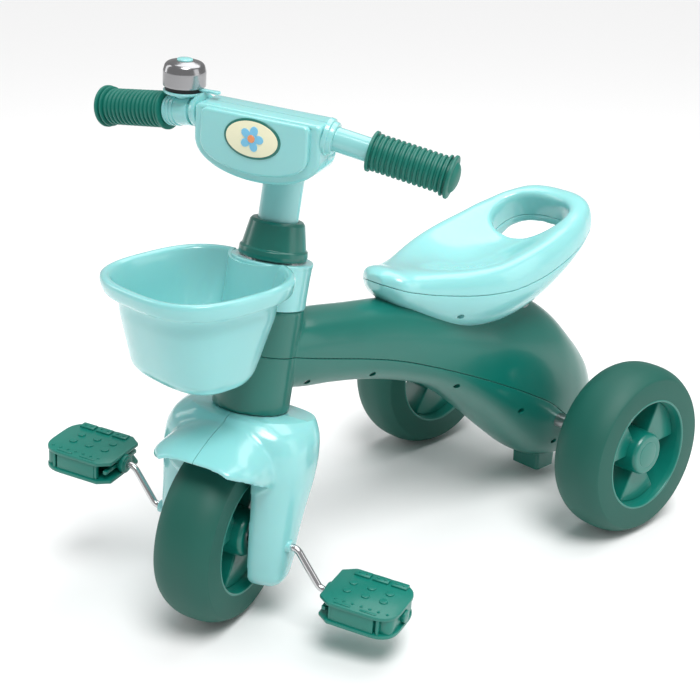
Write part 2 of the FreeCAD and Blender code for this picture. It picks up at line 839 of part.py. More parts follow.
def grip(side, name):
    """A ribbed grip, drawn along +X from its inner end and laid on the end of the bar."""
    length = D["grip_length"]
    bore, core = D["bar_radius"], D["grip_radius"]
    rib, flange = D["grip_rib_radius"], D["grip_flange_radius"]
    outline = [(Size.of(0), bore), (Size.of(0), rib + 1.5), (Size.of(3), rib + 1.5), (Size.of(3), core)]
    pitch = (length - 12) / 13
    for i in range(13):
        start = pitch * i + 4
        outline += [(start, core), (start + 1, rib), (start + pitch * 0.55, rib), (start + pitch * 0.8, core)]
    outline += [
        (length - 6.4, core),
        (length - 6.4, rib + 1.2),
        (length - 4.4, rib + 1.2),
        (length - 4.4, core),
        (length - 1.6, core),
        (length - 1.6, flange),
        (length + 1, flange),
        (length + 1, core - 2),
        (length + 5, core - 6),
        (length + 7, Size.of(0)),
        (length + 0.5, Size.of(0)),
        (length + 0.5, bore),
    ]
    body = turned_body(name + "_grip", outline)
    points = bar_points()
    inner, end = (points[2], points[3]) if side > 0 else (points[1], points[0])
    direction = (end - inner).normalize()
    start = end - direction * V["grip_length"]
    keep(body, name + "_grip", TURNED.multiply(Placement(start, Rotation(Vector(1, 0, 0), direction))))


def cover_outline(inset, y, low=444.0):
    """The cover seen from the front: straight top and a curved lower edge."""
    half, top = 64.0 - inset, 508.0 - inset
    low = low + inset
    corner = 474.0
    left = Vector(-half, y, corner)
    right = Vector(half, y, corner)
    arc = Part.Arc(right, Vector(0, y, low), left).toShape()
    lines = Part.makePolygon([left, Vector(-half, y, top), Vector(half, y, top), right])
    return Part.Wire([arc] + lines.Edges)


def cover_solid(inset):
    """The housing around the middle of the bar, before it is split."""
    front, back = -198.0 + inset, -152.0 - inset
    face = Part.Face(cover_outline(inset, front))
    block = face.extrude(Vector(0, back - front, 0))
    if not inset:
        edges = [e for e in block.Edges if e.BoundBox.YLength < 0.1]
        block = block.makeFillet(6, edges)
    return block


def stem_clamp(inset):
    """The back of the housing, which wraps the top of the column."""
    low, high = 440.0 + inset, 472.0 - inset
    column = head_solid(V["stem_radius"] + 6 - inset, low, high)
    base = axis_point(440)
    bridge = Part.makeBox(
        2 * (V["stem_radius"] + 6 - inset), 60, 30 - 2 * inset, Vector(-V["stem_radius"] - 6 + inset, -172, 446 + inset)
    )
    behind = Part.makeBox(200, 100, 200, Vector(-100, base.y, 400))
    return column.fuse(bridge.cut(behind))


def handlebar_cover():
    wall = V["shell_wall"]
    outside = cover_solid(0).fuse(stem_clamp(0))
    backwards = Vector(0, -1, 0)
    screws = []
    bosses = []
    for x in (-48, 48):
        rear_face = Vector(x, -152, 474)
        screws.append(screw(rear_face + backwards * 1.5, backwards, SCREW_HEAD, 20))
        bosses.append(round_rod(rear_face, backwards, 4.6, 44))
    screws = Part.makeCompound(screws)
    keep_shape(screws, "cover_screws", TURNED)
    inside = cover_solid(wall).cut(Part.makeCompound(bosses))
    path = bent_path(bar_points(), 60.0)
    hollow = outside.cut(inside).cut(swept(path, V["bar_radius"]))
    hollow = hollow.cut(head_solid(V["stem_radius"], 400, 468)).cut(screws)
    split = Part.makeBox(300, 200, 300, Vector(-150, V["bar_y"], 350))
    front = largest_solid(hollow.cut(split))
    rear = largest_solid(hollow.common(split))
    return front, rear


def badge_shape():
    """The oval plate on the front of the cover."""
    ellipse = Part.Ellipse(Vector(0, 0, 0), 28.0, 18.5)
    face = Part.Face(Part.Wire([ellipse.toShape()]))
    plate = face.extrude(Vector(0, 0, 2.0))
    stand = Placement(Vector(0, -198.0, 487.0), Rotation(Vector(1, 0, 0), 90))
    return moved(plate, stand)


# ---------------------------------------------------------------- bell


def bell_centre():
    """Top of the bar under the bell."""
    points = bar_points()
    inner, end = points[1], points[0]
    share = (V["bell_x"] - inner.x) / (end.x - inner.x)
    return inner + (end - inner) * share


def bell_place():
    return TURNED.multiply(Placement(bell_centre(), Rotation()))


STRAP_WALL = 2.6
STRAP_LENGTH = 26.0
LEVER_PIVOT = 12.0
LEVER_THICKNESS = 2.2
DOME_HEIGHT = 23.3
STUD_RADIUS = 2.5


def bell_parts():
    """Strap on the bar, base plate with a stud, lever on its pin, dome over them and a cap."""
    points = bar_points()
    direction = (points[0] - points[1]).normalize()
    centre = bell_centre()
    foot = V["bar_radius"] + STRAP_WALL
    strap_start = centre - direction * (STRAP_LENGTH / 2)
    strap = round_rod(strap_start, direction, foot, STRAP_LENGTH)
    bar_room = round_rod(strap_start - direction, direction, V["bar_radius"], STRAP_LENGTH + 2)
    keep_shape(strap.cut(bar_room), "bell_clamp", TURNED)

    plate_low, plate_high = foot + 4, foot + 7.5
    lever_low = plate_high + 0.2
    lever_high = lever_low + LEVER_THICKNESS
    dome_low = lever_high + 0.3
    dome_high = dome_low + DOME_HEIGHT
    cap_low = dome_high + 0.8

    post = Part.makeCylinder(5, 6, Vector(0, 0, foot - 1.5))
    plate = Part.makeCylinder(V["bell_radius"] - 1, plate_high - plate_low, Vector(0, 0, plate_low))
    stud = Part.makeCylinder(STUD_RADIUS, cap_low - foot - 7, Vector(0, 0, foot + 7))
    strap_room = round_rod(strap_start - direction, direction, foot, STRAP_LENGTH + 2)
    base = post.fuse(plate).fuse(stud).cut(moved(strap_room, Placement(-centre, Rotation())))
    keep_shape(largest_solid(base), "bell_base", bell_place())
    pin = Part.makeCylinder(1.5, 5, Vector(LEVER_PIVOT, 0, plate_high))
    keep_shape(pin, "bell_lever_pin", bell_place())

    radius = D["bell_radius"]
    bore = Size.of(STUD_RADIUS + 0.1)
    outline = [
        (dome_low, radius - 1.2),
        (dome_low, radius),
        (dome_low + DOME_HEIGHT * 0.62, radius - 0.3),
        (dome_low + DOME_HEIGHT * 0.85, radius - 2.6),
        (dome_high, radius - 8),
        (cap_low, bore),
        (dome_high - 0.6, bore),
        (dome_high - 1.2, radius - 8.4),
        (dome_low + DOME_HEIGHT * 0.83, radius - 3.8),
        (dome_low + DOME_HEIGHT * 0.60, radius - 1.5),
    ]
    upright = bell_place().multiply(Placement(Vector(), Rotation(Vector(0, 1, 0), -90)))
    keep(turned_body("bell_dome", outline), "bell_dome", upright)
    cap_outline = [
        (cap_low, bore),
        (cap_low, Size.of(8)),
        (cap_low + 1.5, Size.of(7)),
        (cap_low + 2.2, Size.of(0)),
        (cap_low, Size.of(0)),
    ]
    keep(turned_body("bell_cap", cap_outline), "bell_cap", upright)

    # The lever turns on its pin above the plate and comes out through the gap below the dome.
    pivot = Vector(LEVER_PIVOT, 0, lever_low)
    hub = Part.makeCylinder(4, LEVER_THICKNESS, pivot)
    arm = Part.makeBox(20, 5, LEVER_THICKNESS, pivot + Vector(0, -2.5, 0))
    tip = Part.makeCylinder(4.5, LEVER_THICKNESS, pivot + Vector(20, 0, 0))
    hammer = Part.makeBox(2.5, 10, LEVER_THICKNESS, pivot + Vector(-1.5, 2, 0))
    lever = hub.fuse(arm).fuse(tip).fuse(hammer)
    lever = lever.cut(Part.makeCylinder(1.5 + V["running_clearance"], 10, Vector(LEVER_PIVOT, 0, foot + 5)))
    keep_shape(largest_solid(lever), "bell_lever", bell_place())


# ---------------------------------------------------------------- assembly

rear_wheel(1, "left")
rear_wheel(-1, "right")
front_wheel()

axle_length = (D["rear_track_outer"] - 6) * 2
axle = cylinder("rear_axle", D["axle_radius"], axle_length)
keep(axle, "rear_axle", Placement(Vector(-V["rear_track_outer"] + 6, V["rear_axle_y"], V["wheel_radius"]), ALONG_X))

nut_x = V["rear_track_outer"] - V["hub_cap_depth"] + V["side_clearance"]
nuts = []
for side in (-1, 1):
    nut = tube("push_nut_%s" % ("left" if side > 0 else "right"), Size.of(9), D["axle_radius"], Size.of(1.5))
    x = nut_x if side > 0 else -nut_x - 1.5
    nut.Placement = Placement(Vector(x, V["rear_axle_y"], V["wheel_radius"]), ALONG_X)
    nuts.append(nut)
keep(group("axle_push_nuts", nuts), "axle_push_nuts")

outside, top_shell, bottom_shell = body_shells()
keep_shape(top_shell, "body_top_shell")
keep_shape(bottom_shell, "body_bottom_shell")
keep_shape(largest_solid(rear_foot().cut(outside)), "rear_foot")

sleeve_length = WHEEL_INNER - V["side_clearance"] - 52
sleeves = []
for side in (-1, 1):
    start = Vector(52 if side > 0 else -52 - sleeve_length, V["rear_axle_y"], V["wheel_radius"])
    sleeve = round_rod(start, Vector(1, 0, 0), 8, sleeve_length)
    sleeve = sleeve.cut(round_rod(start, Vector(1, 0, 0), V["axle_radius"], sleeve_length)).cut(outside)
    sleeves.append(largest_solid(sleeve))
keep_shape(Part.makeCompound(sleeves), "axle_spacers")

seat_top, seat_bottom = seat_shells(outside)
keep_shape(seat_top, "seat_top_shell")
keep_shape(seat_bottom, "seat_bottom_shell")

keep_shape(collar_shape(), "head_collar")
keep_shape(basket_shape(), "basket")

bushes = []
for low, high in ((V["head_bottom"], V["head_bottom"] + 18), (V["head_top"] - 18, V["head_top"])):
    ring = head_solid(V["head_bore_radius"], low, high)
    bushes.append(ring.cut(head_solid(V["stem_radius"] + V["running_clearance"], low - 1, high + 1)))
keep_shape(Part.makeCompound(bushes), "steering_bushes")

fork_left, fork_right = fork_halves()
keep_shape(fork_left, "fork_left_half", TURNED)
keep_shape(fork_right, "fork_right_half", TURNED)

stem_low, stem_high = 200.0, 466.0
stem = tube(
    "stem_tube", D["stem_radius"], D["stem_radius"] - D["stem_wall"], Size.of(on_axis(stem_high - stem_low))
)
keep(stem, "stem_tube", TURNED.multiply(COLUMN).multiply(Placement(Vector(0, 0, on_axis(stem_low)), Rotation())))

cap_low = on_axis(V["collar_top"]) + 1.2
stem_cap = turned_body(
    "stem_cap",
    [
        (Size.of(cap_low), D["stem_radius"]),
        (Size.of(cap_low), Size.of(33.0)),
        (Size.of(cap_low + 5), Size.of(33.5)),
        (Size.of(cap_low + 9), Size.of(31.6)),
        (Size.of(cap_low + 34), Size.of(26.8)),
        (Size.of(cap_low + 36), Size.of(25.0)),
        (Size.of(cap_low + 36), D["stem_radius"]),
    ],
)
keep(stem_cap, "stem_cap", TURNED.multiply(COLUMN).multiply(Placement(Vector(), Rotation(Vector(0, 1, 0), -90))))

keep_shape(crank_rod(), "crank_rod", TURNED)
keep(group("crank_bushes", [crank_bush(1), crank_bush(-1)]), "crank_bushes")
pedal(1, "left")
pedal(-1, "right")

keep_shape(handlebar_tube(), "handlebar_tube", TURNED)
grip(1, "left")
grip(-1, "right")
cover_front, cover_rear = handlebar_cover()
keep_shape(cover_front, "handlebar_cover_front", TURNED)
keep_shape(cover_rear, "handlebar_cover_rear", TURNED)
keep_shape(badge_shape(), "cover_badge", TURNED)
bell_parts()

# ---------------------------------------------------------------- checks and files

doc.recompute()
problems = []
for obj in doc.Objects:
    if "Invalid" in obj.State or "Error" in obj.State:
        problems.append("%s: %s" % (obj.Name, obj.State))
for node, obj in NODES.items():
    if obj.Shape.isNull() or not obj.Shape.isValid() or not obj.Shape.Solids:
        problems.append("%s has no valid solid" % node)
if problems:
    raise RuntimeError("; ".join(problems))

os.makedirs("parts", exist_ok=True)
for node, obj in NODES.items():
    obj.Shape.exportStep("parts/%s.step" % node)
    box = obj.Shape.BoundBox
    print(
        "%-24s %9.0f mm3  x %7.1f %7.1f  y %7.1f %7.1f  z %7.1f %7.1f"
        % (node, obj.Shape.Volume, box.XMin, box.XMax, box.YMin, box.YMax, box.ZMin, box.ZMax)
    )
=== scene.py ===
import json
import math

import bmesh
import bpy
import numpy as np
from mathutils import Matrix, Vector


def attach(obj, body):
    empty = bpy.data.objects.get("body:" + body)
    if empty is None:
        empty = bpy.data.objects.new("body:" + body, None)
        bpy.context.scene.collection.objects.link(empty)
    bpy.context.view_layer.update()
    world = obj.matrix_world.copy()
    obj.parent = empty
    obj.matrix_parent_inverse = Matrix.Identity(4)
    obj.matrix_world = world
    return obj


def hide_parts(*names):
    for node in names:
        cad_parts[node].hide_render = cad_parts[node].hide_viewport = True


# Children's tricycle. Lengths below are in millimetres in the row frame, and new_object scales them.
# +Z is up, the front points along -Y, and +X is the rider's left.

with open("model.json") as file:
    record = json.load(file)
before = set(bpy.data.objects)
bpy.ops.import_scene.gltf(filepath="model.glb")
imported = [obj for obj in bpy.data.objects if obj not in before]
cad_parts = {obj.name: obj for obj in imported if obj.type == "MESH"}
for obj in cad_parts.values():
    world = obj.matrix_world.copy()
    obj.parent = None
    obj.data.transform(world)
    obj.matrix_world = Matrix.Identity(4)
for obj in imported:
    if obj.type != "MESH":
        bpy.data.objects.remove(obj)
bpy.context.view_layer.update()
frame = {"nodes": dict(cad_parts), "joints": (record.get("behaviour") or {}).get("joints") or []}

MM = 0.001
JOINTS = {j["name"]: j for j in frame["joints"]}

# ---------------------------------------------------------------- places


def joint_point(name):
    return Vector(JOINTS[name]["pos_m"]) / MM


def joint_axis(name):
    return Vector(JOINTS[name]["axis"]).normalized()


STEER_FOOT = joint_point("steering_turn")
STEER_AXIS = joint_axis("steering_turn")
RAKE_TAN = STEER_AXIS.y / STEER_AXIS.z
AXLE_DIRECTION = joint_axis("front_wheel_spin")
X_AXIS = Vector((1, 0, 0))
STEERED = math.atan2(STEER_AXIS.dot(X_AXIS.cross(AXLE_DIRECTION)), X_AXIS.dot(AXLE_DIRECTION))

# Turns a piece drawn straight ahead to its stored place.
TURN = (
    Matrix.Translation(STEER_FOOT)
    @ Matrix.Rotation(STEERED, 4, STEER_AXIS)
    @ Matrix.Translation(-STEER_FOOT)
)
# Takes a piece drawn along +Z, with z as height on the steering axis, onto that axis.
LEAN_BACK = Vector((0, 0, 1)).rotation_difference(STEER_AXIS).to_matrix().to_4x4()
COLUMN = Matrix.Translation(STEER_FOOT) @ LEAN_BACK
# Length along the steering axis for each unit of height.
SLANT = 1 / STEER_AXIS.z


def unturned(point):
    return TURN.inverted() @ point


FRONT_AXLE = unturned(joint_point("front_wheel_spin"))
REAR_AXLE = joint_point("left_rear_wheel_spin")
WHEEL_RADIUS = REAR_AXLE.z
WHEEL_HALF = 30.0

# ---------------------------------------------------------------- curves and meshes


def smooth(keys, columns, at):
    """Smooth values between rows of numbers: keys is the first column, columns the others."""
    keys = np.asarray(keys, float)
    columns = np.asarray(columns, float)
    slopes = np.gradient(columns, keys, axis=0)
    at = np.atleast_1d(at)
    i = np.clip(np.searchsorted(keys, at) - 1, 0, len(keys) - 2)
    step = (keys[i + 1] - keys[i])[:, None]
    t = ((at - keys[i])[:, None]) / step
    a, b = columns[i], columns[i + 1]
    ta, tb = slopes[i] * step, slopes[i + 1] * step
    t2, t3 = t * t, t * t * t
    return (2 * t3 - 3 * t2 + 1) * a + (t3 - 2 * t2 + t) * ta + (3 * t2 - 2 * t3) * b + (t3 - t2) * tb


def rounded(points, radius, steps=5, closed=False):
    """A polyline with its corners rounded; radius is one number or one for each point."""
    points = [np.asarray(p, float) for p in points]
    count = len(points)
    radii = [radius] * count if np.isscalar(radius) else list(radius)
    out = []
    for i, p in enumerate(points):
        if not closed and i in (0, count - 1) or radii[i] <= 0:
            out.append(p)
            continue
        a = points[i - 1] - p
        b = points[(i + 1) % count] - p
        la, lb = np.linalg.norm(a), np.linalg.norm(b)
        a, b = a / la, b / lb
        half = math.acos(float(np.clip(np.dot(a, b), -1, 1))) / 2
        if half > math.pi / 2 - 0.02:
            out.append(p)
            continue
        back = min(radii[i] / math.tan(half), 0.49 * la, 0.49 * lb)
        for k in range(steps + 1):
            t = k / steps
            out.append((1 - t) ** 2 * (p + a * back) + 2 * t * (1 - t) * p + t * t * (p + b * back))
    return np.array(out)


def superellipse(count, half_x, half_y, fullness):
    """An oval of so many points, evenly spread; a fullness of 2 is an ellipse, more is squarer."""
    t = np.arange(count) * 2 * math.pi / count
    power = 2.0 / fullness
    dense = np.linspace(0, 2 * math.pi, 2001)
    dx = half_x * np.sign(np.cos(dense)) * np.abs(np.cos(dense)) ** power
    dy = half_y * np.sign(np.sin(dense)) * np.abs(np.sin(dense)) ** power
    run = np.concatenate([[0], np.cumsum(np.hypot(np.diff(dx), np.diff(dy)))])
    at = (t / (2 * math.pi) % 1.0) * run[-1]
    return np.stack([np.interp(at, run, dx), np.interp(at, run, dy)], 1)


def skin(rings, cap_start=True, cap_end=True, closed_path=False):
    """Vertices and faces of a skin over rings that all have the same number of points."""
    rings = np.asarray(rings, float)
    m, n = rings.shape[:2]
    verts = rings.reshape(-1, 3).tolist()
    faces = []
    for i in range(m if closed_path else m - 1):
        j = (i + 1) % m
        for k in range(n):
            q = (k + 1) % n
            faces.append((i * n + k, i * n + q, j * n + q, j * n + k))
    if not closed_path:
        for wanted, ring, flip in ((cap_start, 0, True), (cap_end, m - 1, False)):
            if not wanted:
                continue
            verts.append(rings[ring].mean(0).tolist())
            centre = len(verts) - 1
            for k in range(n):
                q = (k + 1) % n
                a, b = ring * n + k, ring * n + q
                faces.append((centre, b, a) if flip else (centre, a, b))
    return verts, faces


def lathe(profile, segments=96):
    """Turn an outline of (x, radius) about X. The outline is closed, or starts and ends on the axis."""
    profile = np.asarray(profile, float)
    t = np.arange(segments) * 2 * math.pi / segments
    on_axis_start = profile[0, 1] < 1e-6
    on_axis_end = profile[-1, 1] < 1e-6
    body = profile[1 if on_axis_start else 0 : -1 if on_axis_end else None]
    rings = [np.stack([np.full(segments, x), r * np.cos(t), r * np.sin(t)], 1) for x, r in body]
    if on_axis_start or on_axis_end:
        verts, faces = skin(rings, on_axis_start, on_axis_end)
        total = len(verts)
        if on_axis_start:
            verts[total - (2 if on_axis_end else 1)] = [profile[0, 0], 0, 0]
        if on_axis_end:
            verts[total - 1] = [profile[-1, 0], 0, 0]
        return verts, faces
    return skin(rings, closed_path=True)


END_ROUND = 0.8


def sweep(points, radius, bend, segments=32):
    """A round bar along a polyline with rounded bends and eased ends."""
    path = rounded(points, bend, 10)
    tangents = np.gradient(path, axis=0)
    tangents /= np.linalg.norm(tangents, axis=1)[:, None]
    up = np.array([0.0, 0.13, 1.0])
    t = np.arange(segments) * 2 * math.pi / segments
    rings = []
    for i, (p, d) in enumerate(zip(path, tangents)):
        side = np.cross(d, up)
        side /= np.linalg.norm(side)
        top = np.cross(side, d)
        across = np.cos(t)[:, None] * side + np.sin(t)[:, None] * top
        ring = p + radius * across
        small = p + (radius - END_ROUND) * across
        if i == 0:
            rings += [small, ring + d * END_ROUND]
        elif i == len(path) - 1:
            rings += [ring - d * END_ROUND, small]
        else:
            rings.append(ring)
    return skin(rings)


def join(*parts):
    """One set of vertices and faces from several."""
    verts, faces = [], []
    for v, f in parts:
        base = len(verts)
        verts += [list(p) for p in v]
        faces += [tuple(i + base for i in face) for face in f]
    return verts, faces


def placed(part, matrix):
    """A part's vertices moved by a matrix; a mirrored part keeps its faces outward."""
    verts, faces = part
    moved = [tuple(matrix @ Vector(v)) for v in verts]
    if matrix.determinant() < 0:
        faces = [tuple(reversed(f)) for f in faces]
    return moved, faces


def new_object(name, part):
    """A part drawn in millimetres becomes an object in metres."""
    verts, faces = part
    mesh = bpy.data.meshes.new(name)
    mesh.from_pydata([[c * MM for c in v] for v in verts], [], faces)
    mesh.update()
    bm = bmesh.new()
    bm.from_mesh(mesh)
    bmesh.ops.remove_doubles(bm, verts=bm.verts, dist=1e-6)
    bmesh.ops.recalc_face_normals(bm, faces=bm.faces)
    bm.to_mesh(mesh)
    bm.free()
    obj = bpy.data.objects.new(name, mesh)
    bpy.context.scene.collection.objects.link(obj)
    return obj


def copied(obj, name):
    copy = obj.copy()
    copy.data = obj.data.copy()
    copy.name = name
    bpy.context.scene.collection.objects.link(copy)
    return copy


def apply_modifiers(obj):
    depsgraph = bpy.context.evaluated_depsgraph_get()
    mesh = bpy.data.meshes.new_from_object(obj.evaluated_get(depsgraph))
    obj.modifiers.clear()
    old = obj.data
    obj.data = mesh
    bpy.data.meshes.remove(old)
    return obj


def modify(obj, kind, **settings):
    modifier = obj.modifiers.new(kind.lower(), kind)
    for key, value in settings.items():
        setattr(modifier, key, value)
    return apply_modifiers(obj)


def remeshed(obj, voxel, rounds):
    """Join overlapping closed forms into one skin and soften the seams between them."""
    modify(obj, "REMESH", mode="VOXEL", voxel_size=voxel * MM, adaptivity=0.0)
    if rounds:
        modify(obj, "SMOOTH", factor=0.5, iterations=rounds)
    return obj


def bevelled(obj, width, segments=3):
    return modify(
        obj, "BEVEL", width=width * MM, segments=segments, limit_method="ANGLE",
        angle_limit=math.radians(30), harden_normals=False,
    )


def cut(obj, part):
    """Take a closed part away from an object."""
    cutter = new_object("cutter", part)
    modify(obj, "BOOLEAN", object=cutter, operation="DIFFERENCE", solver="EXACT")
    bpy.data.objects.remove(cutter)


def finish_piece(obj, body, material, nodes=(), turn=False, edge_angle=38):
    """Shade and place a piece, attach it to its body, and hide the CAD nodes that it stands for."""
    if turn:
        obj.data.transform(Matrix.Scale(MM, 4) @ TURN @ Matrix.Scale(1 / MM, 4))
    obj.data.materials.clear()
    obj.data.materials.append(material)
    obj.data.polygons.foreach_set("use_smooth", [True] * len(obj.data.polygons))
    obj.data.set_sharp_from_angle(angle=math.radians(edge_angle))
    obj.data.update()
    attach(obj, body)
    if nodes:
        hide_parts(*nodes)
    return obj


def box_part(low, high):
    (x0, y0, z0), (x1, y1, z1) = low, high
    verts = [(x, y, z) for z in (z0, z1) for y in (y0, y1) for x in (x0, x1)]
    faces = [(0, 2, 3, 1), (4, 5, 7, 6), (0, 1, 5, 4), (2, 6, 7, 3), (0, 4, 6, 2), (1, 3, 7, 5)]
    return verts, faces


def slab(outline, low, high):
    """A flat plate from an (x, y) outline between two heights."""
    rings = [np.c_[outline, np.full(len(outline), z)] for z in (low, high)]
    verts = np.concatenate(rings).tolist()
    n = len(outline)
    faces = [(k, (k + 1) % n, n + (k + 1) % n, n + k) for k in range(n)]
    faces += [tuple(reversed(range(n))), tuple(range(n, 2 * n))]
    return verts, faces


# Stands a lathe's X axis up along +Z.
UPRIGHT = Matrix.Rotation(math.radians(-90), 4, "Y")


def column_cylinder(radius, low, high, segments=96):
    """A cylinder on the steering axis between two heights."""
    low, high = low * SLANT, high * SLANT
    part = lathe([(low, 0), (low, radius), (high, radius), (high, 0)], segments)
    return placed(part, COLUMN @ UPRIGHT)

# ---------------------------------------------------------------- materials


def srgb(r, g, b):
    def linear(c):
        c /= 255.0
        return c / 12.92 if c <= 0.04045 else ((c + 0.055) / 1.055) ** 2.4

    return (linear(r), linear(g), linear(b), 1.0)


def plastic(name, colour, roughness, coat=0.0, grain=0.0, grain_scale=900.0, mottle=0.04, subsurface=0.0):
    """Moulded plastic: slight colour variation, a fine moulded grain and soft waviness in the gloss."""
    material = bpy.data.materials.new(name)
    material.use_nodes = True
    tree = material.node_tree
    shader = tree.nodes["Principled BSDF"]
    shader.inputs["Roughness"].default_value = roughness
    shader.inputs["Coat Weight"].default_value = coat
    shader.inputs["Coat Roughness"].default_value = 0.12
    shader.inputs["Subsurface Weight"].default_value = subsurface
    shader.inputs["Subsurface Scale"].default_value = 0.004
    coords = tree.nodes.new("ShaderNodeTexCoord")
    cloud = tree.nodes.new("ShaderNodeTexNoise")
    cloud.inputs["Scale"].default_value = 14.0
    cloud.inputs["Detail"].default_value = 3.0
    tree.links.new(coords.outputs["Object"], cloud.inputs["Vector"])
    ramp = tree.nodes.new("ShaderNodeValToRGB")
    ramp.color_ramp.elements[0].position = 0.3
    ramp.color_ramp.elements[1].position = 0.7
    ramp.color_ramp.elements[0].color = tuple(c * (1 - mottle) for c in colour[:3]) + (1,)
    ramp.color_ramp.elements[1].color = tuple(min(1, c * (1 + mottle)) for c in colour[:3]) + (1,)
    tree.links.new(cloud.outputs["Fac"], ramp.inputs["Fac"])
    tree.links.new(ramp.outputs["Color"], shader.inputs["Base Color"])
    gloss = tree.nodes.new("ShaderNodeMapRange")
    gloss.inputs["To Min"].default_value = roughness * 0.85
    gloss.inputs["To Max"].default_value = min(1.0, roughness * 1.15)
    tree.links.new(cloud.outputs["Fac"], gloss.inputs["Value"])
    tree.links.new(gloss.outputs["Result"], shader.inputs["Roughness"])
    fine = tree.nodes.new("ShaderNodeTexNoise")
    fine.inputs["Scale"].default_value = grain_scale
    fine.inputs["Detail"].default_value = 2.0
    tree.links.new(coords.outputs["Object"], fine.inputs["Vector"])
    bump = tree.nodes.new("ShaderNodeBump")
    bump.inputs["Strength"].default_value = max(grain, 0.02)
    bump.inputs["Distance"].default_value = 0.0003
    tree.links.new(fine.outputs["Fac"], bump.inputs["Height"])
    tree.links.new(bump.outputs["Normal"], shader.inputs["Normal"])
    return material


def metal(name, colour, roughness, brushed=0.0):
    """Plated or brushed metal with faint turning marks."""
    material = plastic(name, colour, roughness, grain=0.03 + brushed, grain_scale=600.0, mottle=0.03)
    material.node_tree.nodes["Principled BSDF"].inputs["Metallic"].default_value = 1.0
    return material


GREEN = srgb(5, 108, 96)
MINT = srgb(142, 212, 212)

MATERIALS = {
    "green": plastic("green_plastic", GREEN, 0.3, coat=0.3, grain=0.02),
    "wheel": plastic("wheel_plastic", srgb(10, 116, 103), 0.3, coat=0.25, grain=0.03),
    "pedal": plastic("pedal_plastic", srgb(10, 120, 106), 0.34, coat=0.15, grain=0.06),
    "mint": plastic("mint_plastic", MINT, 0.22, coat=0.8, grain=0.015, mottle=0.012, subsurface=0.1),
    "tube": plastic("mint_paint", srgb(140, 208, 208), 0.2, coat=0.8, grain=0.02, mottle=0.02),
    "tread": plastic("tyre_foam", srgb(4, 86, 74), 0.58, grain=0.22, grain_scale=1500.0, mottle=0.06),
    "grip": plastic("grip_rubber", srgb(8, 112, 98), 0.46, grain=0.15, grain_scale=1200.0),
    "chrome": metal("chrome", (0.62, 0.62, 0.63, 1), 0.14),
    "bell": metal("bell_chrome", (0.36, 0.36, 0.37, 1), 0.2, brushed=0.05),
    "steel": metal("steel", (0.45, 0.45, 0.46, 1), 0.32, brushed=0.1),
    "bush": plastic("nylon", srgb(232, 232, 226), 0.45, grain=0.05),
    # Near-black, used as painted shade in the gap under the bell's dome.
    "dark": plastic("shadow_gap", srgb(22, 26, 28), 0.6, grain=0.05),
    "cream": plastic("badge_cream", srgb(244, 240, 206), 0.35, coat=0.2),
    "blue": plastic("badge_blue", srgb(120, 196, 232), 0.35, coat=0.2),
    "orange": plastic("badge_orange", srgb(238, 150, 96), 0.35, coat=0.2),
}

# ---------------------------------------------------------------- wheels

RIM_RADIUS = 62.5
RIM_OPENING = 58.5
FACE_EDGE = 85.3
HUB_RADIUS = 23.5
SPOKE_HALF = 18.0
SHOULDER_FULLNESS = 2.7


def tyre_part():
    """A tyre about X: flat faces with a crisp edge, and one broad curve from edge to edge."""
    half = WHEEL_HALF
    rise = WHEEL_RADIUS - FACE_EDGE
    side = [(half, RIM_RADIUS - 0.3), (half, FACE_EDGE - 0.5), (half - 0.15, FACE_EDGE - 0.1)]
    for k in range(1, 22):
        share = 1 - k / 22
        side.append((half * share, FACE_EDGE + rise * (1 - share ** SHOULDER_FULLNESS)))
    other = [(-x, r) for x, r in reversed(side)]
    return lathe(side + [(0.0, WHEEL_RADIUS)] + other, 160)


def rim_part():
    """Barrel and hub with soft edges, and three broad, deep fan spokes set back from both faces."""
    half = WHEEL_HALF
    barrel = rounded(
        [(half + 0.4, RIM_RADIUS), (half + 0.4, 60.0), (half - 6, 58.6), (0, 56.5), (-half + 6, 58.6),
         (-half - 0.4, 60.0), (-half - 0.4, RIM_RADIUS)],
        [0.8, 2.4, 3, 8, 3, 2.4, 0.8], 5, True,
    )
    hub = rounded(
        [(half - 1, 8), (half, 15.2), (half, HUB_RADIUS - 2), (half - 4, HUB_RADIUS), (0, HUB_RADIUS + 1.2),
         (-half + 4, HUB_RADIUS), (-half, HUB_RADIUS - 2), (-half, 8)],
        [0, 0.5, 4, 6, 10, 6, 4, 0.5], 5, True,
    )
    parts = [lathe(barrel, 144), lathe(hub, 96)]
    inner, outer = HUB_RADIUS - 1.5, RIM_OPENING
    spread_in, spread_out = math.radians(27), math.radians(29)
    arc_out = [spread_out * k / 12 for k in range(-12, 13)]
    arc_in = [spread_in * k / 6 for k in range(6, -7, -1)]
    outline = [(outer * math.cos(a), outer * math.sin(a)) for a in arc_out]
    outline += [(inner * math.cos(a), inner * math.sin(a)) for a in arc_in]
    fan = slab(np.array(outline), -SPOKE_HALF, SPOKE_HALF)
    # Lay the fan across the wheel: its plane becomes YZ.
    lay = Matrix(((0, 0, 1, 0), (1, 0, 0, 0), (0, 1, 0, 0), (0, 0, 0, 1)))
    for turn in range(3):
        parts.append(placed(fan, Matrix.Rotation(math.radians(120 * turn), 4, "X") @ lay))
    return parts


def make_wheel(name, place, body, nodes, turn=False):
    """Tyre and rim; place puts a wheel drawn about X into the row frame."""
    tyre = new_object(name + "_tyre_mesh", placed(tyre_part(), place))
    finish_piece(tyre, body, MATERIALS["tread"], [nodes[0]], turn)
    parts = rim_part()
    fans = [bevelled(new_object("fan", placed(fan, place)), 2.0, 4) for fan in parts[2:]]
    rim = new_object(name + "_rim_mesh", placed(join(*parts[:2]), place))
    merge_objects(rim, fans)
    finish_piece(rim, body, MATERIALS["wheel"], [nodes[1]], turn)


